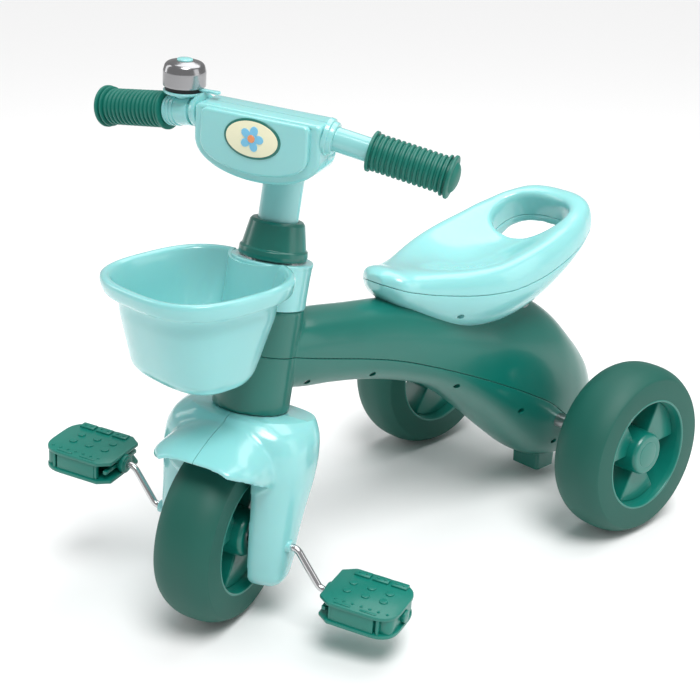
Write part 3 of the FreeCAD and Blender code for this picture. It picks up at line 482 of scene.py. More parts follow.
def merge_objects(target, others):
    """Add the meshes of other objects to the target's."""
    bm = bmesh.new()
    bm.from_mesh(target.data)
    for other in others:
        bm.from_mesh(other.data)
        bpy.data.objects.remove(other)
    bm.to_mesh(target.data)
    bm.free()
    return target


# Every rim rests with its fans at the same turn.
FAN_TURN = Matrix.Rotation(math.radians(31), 4, "X")

for side, side_name in ((1, "left"), (-1, "right")):
    centre = Vector((side * REAR_AXLE.x, REAR_AXLE.y, REAR_AXLE.z))
    facing = Matrix.Rotation(0 if side > 0 else math.pi, 4, "Z")
    place = Matrix.Translation(centre) @ facing @ FAN_TURN
    body = side_name + "_rear_wheel"
    make_wheel(side_name + "_rear", place, body, [side_name + "_rear_tyre", side_name + "_rear_rim"])
    cap = rounded([(27.5, 0), (27.5, 14.5), (30.2, 14.5), (31.0, 0)], [0, 0.6, 0.9, 0], 4)
    cap = new_object(side_name + "_hub_cap_mesh", placed(lathe(cap, 64), Matrix.Translation(centre) @ facing))
    finish_piece(cap, body, MATERIALS["wheel"], [side_name + "_hub_cap"])

front_place = Matrix.Translation(FRONT_AXLE) @ FAN_TURN
make_wheel("front", front_place, "front_wheel", ["front_tyre", "front_rim"], True)

# ---------------------------------------------------------------- body

# Along the body, at each y: half width, lowest, widest and highest point of the section.
BODY_SECTIONS = [
    (-172, 30, 232, 266, 292),
    (-130, 36, 220, 258, 296),
    (-90, 37, 214, 249, 292),
    (-45, 38, 205, 237, 285),
    (5, 41, 190, 221, 278),
    (55, 46, 169, 199, 270),
    (100, 53, 137, 178, 263),
    (140, 59, 103, 160, 256),
    (180, 61.5, 66, 138, 246),
    (215, 62, 38, 116, 232),
    (245, 61, 28, 100, 210),
    (270, 57, 29, 90, 184),
    (294, 46, 37, 86, 158),
    (311, 30, 52, 86, 135),
    (320, 8, 76, 90, 106),
]
# The line between the two shells, as (y, height).
PARTING = [(-260, 294), (-157, 266), (-93, 248.5), (-53, 237.5), (-13, 225), (42, 203), (83, 185)]
PARTING += [(128, 163.5), (175, 138.5), (209, 118), (236, 95), (270, 62), (300, 30), (330, -5)]


def parting_height(y):
    keys = [p[0] for p in PARTING]
    return smooth(keys, [[p[1]] for p in PARTING], y)[:, 0]


RING_POINTS = 112


def upright_rings(sections, ys, fullness):
    """Oval rings across the body; sections are (y, half width, lowest, widest, highest)."""
    keys = [s[0] for s in sections]
    values = smooth(keys, [s[1:] for s in sections], ys)
    rings = []
    for y, (half, low, widest, high) in zip(ys, values):
        outline = superellipse(RING_POINTS, 1, 1, fullness)
        x = half * outline[:, 0]
        z = np.where(outline[:, 1] > 0, (high - widest), (widest - low)) * outline[:, 1] + widest
        rings.append(np.stack([x, np.full(RING_POINTS, y), z], 1))
    return rings


QUARTER = 1.5708
TAIL_START = 290


def tail_rings(sections, fullness):
    """Rings that close up tightly at the tail, so its end is round."""
    start, end = sections[0][0], sections[-1][0]
    closing = np.sin(np.linspace(0.05, 1, 22) * QUARTER)
    ys = np.concatenate([np.linspace(start, TAIL_START, 110), TAIL_START + (end - TAIL_START) * closing])
    return upright_rings(sections, ys, fullness)


EDGE_DEPTH = 0.9
EDGE_EASE = 0.55


def flat_cut(obj, keep_above, gap):
    """Cut a mesh at z = 0, keep one side, close it and ease the edge."""
    bm = bmesh.new()
    bm.from_mesh(obj.data)
    sign = 1 if keep_above else -1
    for distance, clear in ((gap + EDGE_DEPTH, False), (gap, True)):
        geometry = bm.verts[:] + bm.edges[:] + bm.faces[:]
        bmesh.ops.bisect_plane(
            bm, geom=geometry, dist=1e-7, plane_co=(0, 0, sign * distance * MM), plane_no=(0, 0, sign),
            clear_inner=clear,
        )
    bm.normal_update()
    rim = [v for v in bm.verts if any(e.is_boundary for e in v.link_edges)]
    moves = {v: Vector((v.normal.x, v.normal.y, 0)) for v in rim}
    for vert, normal in moves.items():
        if normal.length > 0:
            vert.co -= normal.normalized() * EDGE_EASE * MM
    edges = [e for e in bm.edges if e.is_boundary]
    bmesh.ops.triangle_fill(bm, edges=edges, use_beauty=True, use_dissolve=False, normal=(0, 0, sign))
    bmesh.ops.recalc_face_normals(bm, faces=bm.faces)
    bm.to_mesh(obj.data)
    bm.free()


def sheared(obj, height_of, direction):
    """Lift or lower every vertex by the parting line's height, so that the line becomes flat."""
    co = np.zeros(len(obj.data.vertices) * 3)
    obj.data.vertices.foreach_get("co", co)
    co = co.reshape(-1, 3)
    co[:, 2] += direction * height_of(co[:, 1] / MM) * MM
    obj.data.vertices.foreach_set("co", co.ravel())
    obj.data.update()


PARTING_GAP = 0.3


def split_at_parting(whole, height_of, names):
    """Two shells from one form, divided along a curved parting line."""
    halves = []
    for name, above in zip(names, (True, False)):
        half = copied(whole, name)
        sheared(half, height_of, -1)
        flat_cut(half, above, PARTING_GAP)
        sheared(half, height_of, 1)
        halves.append(half)
    bpy.data.objects.remove(whole)
    return halves


# Screw heads on the rider's left.
BODY_SCREWS = [(30, -129, 230), (33, -44, 216), (43, 70, 174), (57, 160, 123), (54, 224, 64)]
SEAT_SCREWS = [(50, 66, 256), (60, 160, 246)]


def screw_recesses(points):
    """Blind holes for the screw heads, mirrored across the centre plane."""
    hole = lathe([(-8, 0), (-8, 3.7), (4, 3.7), (4, 0)], 32)
    holes = []
    for x, y, z in points:
        for side in (1, -1):
            direction = Vector((-0.86 * side, 0.2, 0.47)).normalized()
            tilt = X_AXIS.rotation_difference(direction).to_matrix().to_4x4()
            holes.append(placed(hole, Matrix.Translation((x * side, y, z)) @ tilt))
    return join(*holes)


def make_body():
    head_tube = column_cylinder(38, 212.0, 313.0, 128)
    whole = new_object("body_form", join(skin(tail_rings(BODY_SECTIONS, 2.4)), head_tube))
    remeshed(whole, 1.5, 8)
    cut(whole, screw_recesses(BODY_SCREWS))
    top, bottom = split_at_parting(whole, parting_height, ["body_top_mesh", "body_bottom_mesh"])
    finish_piece(top, "frame", MATERIALS["green"], ["body_top_shell"])
    finish_piece(bottom, "frame", MATERIALS["green"], ["body_bottom_shell"])


make_body()

# ---------------------------------------------------------------- seat

# Along the seat, at each y: half width, depth of the bowl below the parting line, height of the
# parting line, rise of the edge above it, and depth of the dish.
SEAT_SECTIONS = [
    (-12, 12, 10, 300, 9, 0),
    (-4, 26, 16, 297, 15, 0),
    (20, 36, 26, 289, 23, 3),
    (50, 49, 39, 283, 31, 10),
    (80, 64, 48, 280, 38, 20),
    (112, 76, 52, 280, 44, 31),
    (150, 80, 50, 284, 50, 38),
    (188, 78, 40, 291, 51, 37),
    (222, 73, 26, 300, 50, 30),
    (252, 63, 16, 309, 46, 18),
    (276, 47, 11, 316, 35, 6),
    (291, 22, 7, 320, 18, 0),
]


def seat_height(y):
    keys = [-40] + [s[0] for s in SEAT_SECTIONS] + [330]
    heights = [[305]] + [[s[3]] for s in SEAT_SECTIONS] + [[322]]
    return smooth(keys, heights, y)[:, 0]


def seat_rings():
    count = 128
    keys = [s[0] for s in SEAT_SECTIONS]
    ys = np.linspace(keys[0], keys[-1], 120)
    rings = []
    t = np.arange(count) * 2 * math.pi / count
    c, s = np.cos(t), np.sin(t)
    rows = smooth(keys, [section[1:] for section in SEAT_SECTIONS], ys)
    for y, (half, bowl, widest, rise, dish) in zip(ys, rows):
        x = half * np.sign(c) * np.abs(c) ** 0.9
        across = np.clip(1 - (x / (0.9 * half)) ** 2, 0, None) ** 1.2
        upper = widest + rise * np.abs(s) ** 0.72 - dish * across
        lower = widest - bowl * np.abs(s) ** 0.9
        rings.append(np.stack([x, np.full(count, y), np.where(s > 0, upper, lower)], 1))
    return rings


HOLE_MIDDLE = Vector((0, 227, 322))
HOLE_LEAN = math.radians(15)
HOLE_HALF_X = 45.0
HOLE_HALF_Y = 36.0
# The edge is softened fully up to the first share of the hole's size, and not at all past the second.
SOFT_INSIDE, SOFT_OUTSIDE = 1.2, 1.55


def hole_share(point):
    """How far out from the middle of the grab hole a point is: 1 is on its wall."""
    y = point.y - HOLE_MIDDLE.y + math.tan(HOLE_LEAN) * (point.z - HOLE_MIDDLE.z)
    return math.hypot(point.x / HOLE_HALF_X, y / HOLE_HALF_Y)


def handle_hole():
    along = Vector((0, -math.sin(HOLE_LEAN), math.cos(HOLE_LEAN)))
    t = np.arange(96) * 2 * math.pi / 96
    c, s = np.cos(t), np.sin(t)
    rings = []
    for step in (-90, 60):
        middle = HOLE_MIDDLE + along * step
        x = HOLE_HALF_X * np.sign(c) * np.abs(c) ** 0.75
        y = middle.y + HOLE_HALF_Y * np.sign(s) * np.abs(s) ** 0.85
        rings.append(np.stack([x, y, np.full(96, middle.z)], 1))
    return skin(rings)


def soften_hole(obj, rounds):
    """Round over both edges of the grab hole, and leave the rest of the seat as it is."""
    group = obj.vertex_groups.new(name="hole")
    for vertex in obj.data.vertices:
        share = hole_share(vertex.co / MM)
        weight = min(1.0, max(0.0, (SOFT_OUTSIDE - share) / (SOFT_OUTSIDE - SOFT_INSIDE)))
        if weight > 0:
            group.add([vertex.index], weight, "REPLACE")
    modify(obj, "SMOOTH", factor=0.5, iterations=rounds, vertex_group="hole")
    obj.vertex_groups.clear()


def make_seat():
    whole = new_object("seat_form", skin(seat_rings()))
    cut(whole, handle_hole())
    remeshed(whole, 1.5, 22)
    soften_hole(whole, 110)
    cut(whole, screw_recesses(SEAT_SCREWS))
    top, bottom = split_at_parting(whole, seat_height, ["seat_top_mesh", "seat_bottom_mesh"])
    finish_piece(top, "frame", MATERIALS["mint"], ["seat_top_shell"])
    finish_piece(bottom, "frame", MATERIALS["mint"], ["seat_bottom_shell"])


make_seat()

# ---------------------------------------------------------------- basket and collar

COLLAR_RADIUS = 39.5


def column_centre(z):
    return STEER_FOOT.y + RAKE_TAN * z


def clear_of_column(ring, radius):
    """Push the points of a level ring that reach the column out to a radius around it."""
    dx = ring[:, 0]
    dy = ring[:, 1] - column_centre(ring[:, 2])
    distance = np.hypot(dx, dy)
    out = ring.copy()
    # Points behind the column's centre are brought round to its front.
    front = np.where(dy > -2, -2 - 0.2 * np.abs(dy), dy)
    near = distance < radius
    reach = np.hypot(dx, front)
    reach = np.maximum(reach, 1e-6)
    middle = column_centre(ring[:, 2])
    out[:, 0] = np.where(near, dx * radius / reach, dx)
    out[:, 1] = np.where(near, middle + front * radius / reach, ring[:, 1])
    return out


def basket_rings():
    """From the middle of the floor outside, up the wall, over the rolled lip and down inside."""
    outer = [
        (262, 4, 4, -247), (262, 44, 26, -247), (263.5, 53, 33, -247), (267, 59, 39, -246.5),
        (273, 63, 44, -246), (285, 66, 48.5, -244), (300, 69, 53, -242), (322, 73, 60, -238.5),
        (343, 76, 66, -236),
    ]
    lip = [
        (344.5, 77, 67.2, -236), (345, 80, 70, -236), (345.2, 82.6, 72.8, -236), (346.4, 84.2, 76, -236),
        (352, 85.4, 78.2, -236), (358, 86, 79, -236), (360.8, 85, 78, -236), (362, 82.4, 75.6, -236),
        (361.4, 79.4, 72.4, -236), (359.4, 77.6, 70.4, -236), (355, 76, 68.4, -236),
    ]
    inner = [
        (343, 73.4, 63.4, -236), (322, 70.2, 57.2, -238.5), (300, 66.2, 50.2, -242), (285, 63.2, 45.6, -244),
        (275, 60, 41, -246), (268.5, 55, 35.5, -246.5), (265.5, 46, 27, -247), (265, 4, 4, -247),
    ]
    path = np.array(outer + lip + inner, float)
    # Extra rings between the named ones keep the wall smooth.
    run = np.concatenate([[0], np.cumsum(np.linalg.norm(np.diff(path[:, :3], axis=0), axis=1))])
    at = np.unique(np.concatenate([run, np.linspace(0, run[-1], 90)]))
    rows = smooth(run, path, at)
    split = run[len(outer) + 7]
    rings = []
    for place, (z, half_x, half_y, y) in zip(at, rows):
        outline = superellipse(224, max(half_x, 1), max(half_y, 1), 2.8)
        ring = np.stack([outline[:, 0], y + outline[:, 1], np.full(224, z)], 1)
        rings.append(clear_of_column(ring, COLLAR_RADIUS + (0.6 if place < split else 3.6)))
    return rings


def make_basket():
    basket = new_object("basket_mesh", skin(basket_rings()))
    finish_piece(basket, "frame", MATERIALS["mint"], ["basket"], edge_angle=50)


make_basket()


def column_piece(name, profile, body, material, nodes, turn=False):
    """A turned piece on the steering axis, its outline given as (height on the axis, radius)."""
    points = [(height * SLANT, radius) for height, radius in profile]
    piece = new_object(name, placed(lathe(points, 128), COLUMN @ UPRIGHT))
    return finish_piece(piece, body, material, nodes, turn)


collar_profile = rounded(
    [(313.4, 21), (313.4, 38.6), (340, 39.0), (352, 39.6), (357, 40.6), (357, 36), (355.5, 21)],
    [0, 0.7, 8, 6, 2.4, 1, 0], 5, True,
)
column_piece("collar_mesh", collar_profile, "frame", MATERIALS["mint"], ["head_collar"])

cap_profile = rounded(
    [(358.2, 20.0), (358.2, 33.0), (362.5, 33.5), (366.5, 33.0), (368.0, 31.2), (371, 30.6), (391, 26.6),
     (393.4, 24.6), (393.4, 20.0)],
    [0, 1.0, 2, 1.6, 1.6, 1.5, 1.6, 1.4, 0], 5, True,
)
column_piece(
    "stem_cap_mesh", cap_profile, "steering", MATERIALS["green"], ["stem_cap"], True
)

# ---------------------------------------------------------------- fork

# Up the fork, at each height: middle, half width and half depth of the section.
FORK_SECTIONS = [
    (46, -217, 60, 13),
    (53, -216, 66, 20),
    (68, -214, 70, 25),
    (95, -212, 72.5, 28),
    (125, -205, 74.5, 34),
    (155, -197, 77, 42),
    (180, -193, 77, 47),
    (198, -190, 73, 49),
    (211, -188, 64, 47),
    (220, -187, 48, 40),
]
# Forward along the mudguard, at each y: half width, lower edge and crown.
VISOR_SECTIONS = [
    (-196, 56, 130, 208),
    (-225, 58, 142, 216),
    (-251, 56, 158, 213),
    (-274, 51, 178, 206),
    (-289, 38, 190, 200),
]
SLOT_HALF = 35.0
WHEEL_ROOM = 103.0


def wheel_room(half, radius):
    """Room for the wheel between the legs: a disc, and a box below it."""
    disc = lathe([(-half, 0), (-half, radius), (half, radius), (half, 0)], 128)
    disc = placed(disc, Matrix.Translation(FRONT_AXLE))
    below = box_part(
        (-half, FRONT_AXLE.y - radius, FRONT_AXLE.z - 120), (half, FRONT_AXLE.y + radius, FRONT_AXLE.z)
    )
    return disc, below


def fork_form():
    keys = [s[0] for s in FORK_SECTIONS]
    # The sections crowd together at both ends, where the outline turns in.
    foot = keys[0] + 8 * (1 - np.cos(np.linspace(0, QUARTER, 10)))
    crown = 211 + 9 * np.sin(np.linspace(0.15, QUARTER, 9))
    zs = np.concatenate([foot, np.linspace(56, 211, 70), crown])
    rings = []
    for z, (y, half_x, half_y) in zip(zs, smooth(keys, [s[1:] for s in FORK_SECTIONS], zs)):
        outline = superellipse(RING_POINTS, half_x, half_y, 3.0)
        rings.append(np.stack([outline[:, 0], y + outline[:, 1], np.full(RING_POINTS, z)], 1))
    return skin(rings)


# Height of the mudguard's widest line, as a share of its section.
VISOR_WIDEST = 0.35


def visor_form():
    ys = np.linspace(-196, -289, 60)
    sections = [
        (y, half, low, low + VISOR_WIDEST * (high - low), high)
        for y, half, low, high in reversed(VISOR_SECTIONS)
    ]
    return skin(upright_rings(sections, ys, 2.3))


def hood_hollow():
    """The hollow under the mudguard, open in front and below."""
    wall = 3
    ys = np.linspace(-239, -300, 40)
    sections = [
        (y, half - wall, low - 14, low + VISOR_WIDEST * (high - low) - wall, high - wall)
        for y, half, low, high in sorted(VISOR_SECTIONS + [(-301, 36, 190, 198)])
    ]
    return skin(upright_rings(sections, ys, 2.3))


def make_fork():
    whole = new_object("fork_form", join(fork_form(), visor_form(), column_cylinder(36, 190, 211)))
    remeshed(whole, 2.0, 0)
    for room in wheel_room(SLOT_HALF, WHEEL_ROOM):
        cut(whole, room)
    cut(whole, hood_hollow())
    remeshed(whole, 1.3, 14)
    cut(whole, column_cylinder(200, 211.4, 300))
    halves = split_at_centre(whole, ["fork_left_mesh", "fork_right_mesh"])
    for half, node in zip(halves, ("fork_left_half", "fork_right_half")):
        finish_piece(half, "steering", MATERIALS["mint"], [node], True)


def split_at_centre(whole, names):
    """A left and a right half, parted at x = 0."""
    halves = []
    to_z = Matrix(((0, 1, 0, 0), (0, 0, 1, 0), (1, 0, 0, 0), (0, 0, 0, 1)))
    for name, left in zip(names, (True, False)):
        half = copied(whole, name)
        half.data.transform(to_z)
        flat_cut(half, left, 0.2)
        half.data.transform(to_z.inverted())
        halves.append(half)
    bpy.data.objects.remove(whole)
    return halves


make_fork()

# ---------------------------------------------------------------- crank and pedals

LEFT_SPINDLE = unturned(joint_point("left_pedal_spin"))
THROW = Vector((0, LEFT_SPINDLE.y, LEFT_SPINDLE.z)) - Vector((0, FRONT_AXLE.y, FRONT_AXLE.z))
PEDAL_INNER = 121.0
PEDAL_OUTER = 200.5
SPINDLE_END = 197.0
SPINDLE_START = 110.0
CRANK_STRAIGHT = 80.0
CRANK_RADIUS = 3.5


def make_crank():
    points = [
        FRONT_AXLE + Vector((-SPINDLE_END, 0, 0)) - THROW,
        FRONT_AXLE + Vector((-SPINDLE_START, 0, 0)) - THROW,
        FRONT_AXLE + Vector((-CRANK_STRAIGHT, 0, 0)),
        FRONT_AXLE + Vector((CRANK_STRAIGHT, 0, 0)),
        FRONT_AXLE + Vector((SPINDLE_START, 0, 0)) + THROW,
        FRONT_AXLE + Vector((SPINDLE_END, 0, 0)) + THROW,
    ]
    rod = new_object("crank_mesh", sweep(points, CRANK_RADIUS, 12))
    finish_piece(rod, "front_wheel", MATERIALS["chrome"], ["crank_rod"], True)


def pedal_parts():
    """One pedal about its spindle on X, as separate closed parts to bevel and join."""
    inner, outer, half, thick = PEDAL_INNER, PEDAL_OUTER, 34.0, 24.0
    outline = rounded(
        [(inner, -half + 9), (inner + 12, -half), (outer, -half), (outer, half), (inner + 12, half),
         (inner, half - 9)],
        [2, 4, 24, 24, 4, 2], 8, True,
    )
    dimple = lathe([(0, 0), (0, 1.5), (0.8, 1.5), (0.8, 0)], 20)
    stud = lathe(rounded([(0, 0), (0, 4.3), (1.5, 4.1), (1.5, 0)], [0, 0, 0.6, 0], 3), 36)
    dot = lathe([(0, 0), (0, 1.7), (0.9, 1.3), (0.9, 0)], 20)
    parts = []
    for face in (-1, 1):
        skin_z = face * thick / 2

        def raised(shape, x, y, lift, ease):
            place = Matrix.Translation((x, y, face * (thick / 2 + lift))) @ flat_up(face)
            parts.append((placed(shape, place), ease))

        low, high = sorted((face * (thick / 2 - 4), face * thick / 2))
        parts.append((slab(outline, low, high), 0.9))
        for i in range(3):
            x = inner + 14 + 19.5 * i
            parts.append((box_part((x, half - 12, skin_z - 1), (x + 16.5, half - 2.5, skin_z + 1.9)), 0.8))
            for along in (4.5, 12):
                raised(dimple, x + along, half - 7, 1.8, 0.3)
        for i in range(3):
            for y in (-6, 9):
                raised(stud, inner + 20 + 19 * i, y, -0.2, 0)
        for i in range(7):
            raised(dot, inner + 16 + 9 * i, -half + 10, -0.1, 0)
        for i in range(2):
            x = inner + 17 + 27 * i
            parts.append((box_part((x, -half + 3, skin_z - 1), (x + 17, -half + 5.6, skin_z + 0.7)), 0.3))
    # The front and rear walls have upright ribs, and a plain panel in the middle.
    for side in (-1, 1):
        wall = side * (half - 3)
        low, high = sorted((wall - 1.5, wall + 1.5))
        parts.append((box_part((inner + 16, low, -thick / 2 + 2), (outer - 20, high, thick / 2 - 2)), 0.4))
        for i in range(7):
            x = inner + 13 + 8.2 * i
            low, high = sorted((wall - 1, wall + 3.4))
            parts.append((box_part((x, low, -thick / 2 + 1), (x + 3, high, thick / 2 - 1)), 0.5))
    end = rounded(
        [(outer - 22, -half + 6), (outer - 3, -half + 6), (outer - 3, half - 6), (outer - 22, half - 6)],
        [0, 18, 18, 0], 8, True,
    )
    parts.append((slab(end, -thick / 2 + 1, thick / 2 - 1), 0.4))
    # A sleeve round the spindle, its collar on the crank side, and a bar across.
    rings = ((inner - 4, outer - 6, 3.6, 7.5, 0.6), (inner - 3, inner + 2, 4, 9.6, 0.8))
    for start, stop, bore, radius, ease in rings:
        ring = rounded([(start, bore), (start, radius), (stop, radius), (stop, bore)], ease, 3, True)
        parts.append((lathe(ring, 48), 0))
    parts.append((box_part((inner + 4, -half + 6, -2), (inner + 8, half - 6, 2)), 0.4))
    return parts


def flat_up(face):
    """Turns a lathe's X axis to face up or down."""
    return Matrix.Rotation(math.radians(-90 * face), 4, "Y")


def make_pedal(side, name):
    spin = Matrix.Identity(4) if side > 0 else Matrix.Scale(-1, 4, X_AXIS)
    centre = Vector((0, FRONT_AXLE.y, FRONT_AXLE.z)) + THROW * side
    place = Matrix.Translation(centre) @ spin
    pieces = []
    for part, ease in pedal_parts():
        piece = new_object("pedal_part", placed(part, place))
        if ease:
            bevelled(piece, ease, 2)
        pieces.append(piece)
    pedal = pieces[0]
    pedal.name = name + "_pedal_mesh"
    merge_objects(pedal, pieces[1:])
    finish_piece(pedal, name + "_pedal", MATERIALS["pedal"], [name + "_pedal"], True)
    low, high = SPINDLE_END, PEDAL_OUTER + 2.2
    cap = rounded([(low, 0), (low, 6.4), (high - 1, 6.4), (high, 0)], [0, 0.6, 1.2, 0], 4)
    cap = new_object(name + "_pedal_cap_mesh", placed(lathe(cap, 48), place))
    finish_piece(cap, name + "_pedal", MATERIALS["pedal"], [name + "_pedal_cap"], True)


make_crank()
make_pedal(1, "left")
make_pedal(-1, "right")

# ---------------------------------------------------------------- handlebar

BAR_Y = -174.0
BAR_HEIGHT = 495.0
BAR_BEND = 66.0
BAR_END = (178.0, -159.0, 476.5)
BAR_RADIUS = 11.2
GRIP_LENGTH = 76.0


def bar_direction(side):
    start = Vector((side * BAR_BEND, BAR_Y, BAR_HEIGHT))
    end = Vector((side * BAR_END[0], BAR_END[1], BAR_END[2]))
    return start, end, (end - start).normalized()


def along_bar(side, distance_from_end):
    """A place on the bar whose X axis runs out along it."""
    _, end, direction = bar_direction(side)
    point = end - direction * distance_from_end
    return Matrix.Translation(point) @ X_AXIS.rotation_difference(direction).to_matrix().to_4x4()


def make_bar():
    left, right = bar_direction(1), bar_direction(-1)
    bar = new_object("bar_mesh", sweep([right[1], right[0], left[0], left[1]], BAR_RADIUS, 16, 64))
    finish_piece(bar, "steering", MATERIALS["tube"], ["handlebar_tube"], True)


def grip_profile():
    """From the inner flange over the ribs to the end flange and the domed end."""
    length = GRIP_LENGTH
    core, rib = 15.2, 17.2
    points = [(0, 11.3), (0, 17.6), (0.6, 18.6), (2.6, 18.6), (3.2, 17.6), (3.2, core)]
    ribs = 13
    start, stop = 4.2, length - 7.4
    pitch = (stop - start) / ribs
    for i in range(ribs):
        x = start + pitch * i
        rise, fall = (0.04, 0.12, 0.26), (0.56, 0.7, 0.8)
        for share, r in zip(rise + fall, (core, rib - 0.7, rib, rib, rib - 0.7, core)):
            points.append((x + pitch * share, r))
    points += [(length - 6.6, core), (length - 6.6, 18.0), (length - 6, 18.8), (length - 4.8, 18.8)]
    points += [(length - 4.2, 18.0), (length - 4.2, core), (length - 2, core), (length - 2, 19.0)]
    points += [(length - 1.3, 19.8), (length + 0.4, 19.8), (length + 1.1, 19.0), (length + 1.3, 14.4)]
    for k in range(1, 7):
        a = math.pi / 2 * k / 6
        points.append((length + 1.3 + 5.4 * math.sin(a), 13.8 * math.cos(a) if k < 6 else 0.0))
    return points


def make_grips():
    for side, name in ((1, "left"), (-1, "right")):
        profile = [(0.0, 0.0)] + grip_profile()
        grip = new_object(name + "_grip_mesh", placed(lathe(profile, 72), along_bar(side, GRIP_LENGTH)))
        finish_piece(grip, "steering", MATERIALS["grip"], [name + "_grip"], True, 45)
    # Three rings on the bar between the rider's right grip and the bell.
    ring = lathe(rounded([(-1.4, 11), (-1.4, 14.6), (1.4, 14.6), (1.4, 11)], 0.8, 3, True), 64)
    for i in range(3):
        clamp = new_object("bar_ring_%d" % i, placed(ring, along_bar(-1, GRIP_LENGTH + 3 + 4.6 * i)))
        finish_piece(clamp, "steering", MATERIALS["mint"], [], True)


def cover_outline(side, top, bottom):
    """The cover seen from the front, drawn in by so much at its sides, top and bottom."""
    half, high, low, corner = 64.0 - side, 508.0 - top, 444.0 + bottom, 478.0
    points = [(-half, corner), (-half, high), (half, high), (half, corner)]
    outline = list(rounded(points, [0, 6, 6, 0], 6))
    for k in range(0, 41):
        a = math.pi * k / 40
        outline.append((half * math.cos(a), corner - (corner - low) * math.sin(a) ** 0.86))
    return np.array(outline)


def cover_block(rows):
    """Stacked outlines along Y; each row is (y, inset at the sides, at the top, at the bottom)."""
    rings = []
    for y, side, top, bottom in rows:
        outline = cover_outline(side, top, bottom)
        rings.append(np.stack([outline[:, 0], np.full(len(outline), y), outline[:, 1]], 1))
    return skin(rings)


def eased(y_face, y_foot, side, top, bottom, ease):
    """Rows for an edge that rolls over from a face to a wall."""
    steps = 6
    rows = []
    for k in range(steps + 1):
        a = math.pi / 2 * k / steps
        shrink = ease * (1 - math.sin(a))
        y = y_face + (y_foot - y_face) * (1 - math.cos(a))
        rows.append((y, side + shrink, top + shrink, bottom + shrink))
    return rows


def make_cover():
    """Front half with a raised panel and a sleeve at each end, rear half with the stem's clamp."""
    panel = eased(-198.0, -195.4, 9.5, 1.2, 9.0, 2.6) + [(-192.0, 9.5, 1.2, 9.0)]
    flange = eased(-192.0, -188.2, 0, 0, 0, 3.8) + [(-174.2, 0, 0, 0)]
    front = new_object("cover_front_mesh", cover_block(panel + flange))
    back = eased(-152.0, -158.0, 0, 0, 0, 7)[::-1]
    rear = new_object("cover_rear_mesh", join(cover_block([(-173.6, 0, 0, 0)] + back), stem_clamp()))
    profile = rounded(
        [(0, 11), (0, 17.4), (4, 17.2), (4.6, 15.4), (9, 14.6), (9, 11)], [0, 0, 1, 0.6, 1.6, 0.4], 4, True
    )
    sleeves = []
    for side in (1, -1):
        start, end, _ = bar_direction(side)
        place = along_bar(side, (end - start).length + 4)
        sleeves.append(new_object("sleeve", placed(lathe(profile, 64), place)))
    merge_objects(front, sleeves)
    finish_piece(front, "steering", MATERIALS["mint"], ["handlebar_cover_front"], True)
    finish_piece(rear, "steering", MATERIALS["mint"], ["handlebar_cover_rear"], True)


def stem_clamp():
    """The clamp that holds the cover on the top of the column, and the bridge to it."""
    low, high, radius = 440.0 * SLANT, 472.0 * SLANT, 25.6
    profile = rounded([(low, 19.8), (low, radius), (high, radius), (high, 0)], [0, 2, 3, 0], 5)
    column = placed(lathe([(low, 0)] + [tuple(p) for p in profile[1:]], 96), COLUMN @ UPRIGHT)
    bridge = box_part((-22, -170, 448), (22, -136, 470))
    return join(column, bridge)


def petal_outline(petals, inner, outer):
    t = np.arange(120) * 2 * math.pi / 120
    r = inner + (outer - inner) * np.abs(np.cos(t * petals / 2)) ** 0.7
    return np.stack([r * np.cos(t), r * np.sin(t)], 1)


def make_badge():
    stand = Matrix.Translation((0, -197.3, 487.0)) @ Matrix.Rotation(math.radians(90), 4, "X")

    def plate(name, outline, low, high, ease, material):
        piece = bevelled(new_object(name, placed(slab(outline, low, high), stand)), ease, 3)
        return finish_piece(piece, "steering", material, [], True)

    border = plate("badge_border", superellipse(128, 28.5, 18.6, 2.0), 0, 1.9, 0.7, MATERIALS["green"])
    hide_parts("cover_badge")
    plate("badge_field", superellipse(128, 26.2, 16.4, 2.0), 1.0, 2.3, 0.3, MATERIALS["cream"])
    raise_by = np.array([0, 0.5])
    plate("badge_flower", petal_outline(5, 5.0, 12.0) + raise_by, 2.0, 2.9, 0.3, MATERIALS["blue"])
    plate("badge_eye", superellipse(48, 3.6, 3.6, 2.0) + raise_by, 2.6, 3.4, 0.3, MATERIALS["orange"])


make_bar()
make_grips()
make_cover()
make_badge()

stem_profile = [(205.0, 0), (205.0, 19.6), (466.0, 19.6), (466.0, 0)]
column_piece("stem_mesh", stem_profile, "steering", MATERIALS["tube"], ["stem_tube"], True)

# ---------------------------------------------------------------- bell

BELL_X = -87.0


def bell_place():
    start, end, _ = bar_direction(-1)
    share = (BELL_X - start.x) / (end.x - start.x)
    return Matrix.Translation(start + (end - start) * share)


def bell_piece(name, profile, material, nodes):
    piece = new_object(name, placed(lathe(profile, 96), bell_place() @ UPRIGHT))
    return finish_piece(piece, "steering", material, nodes, True)


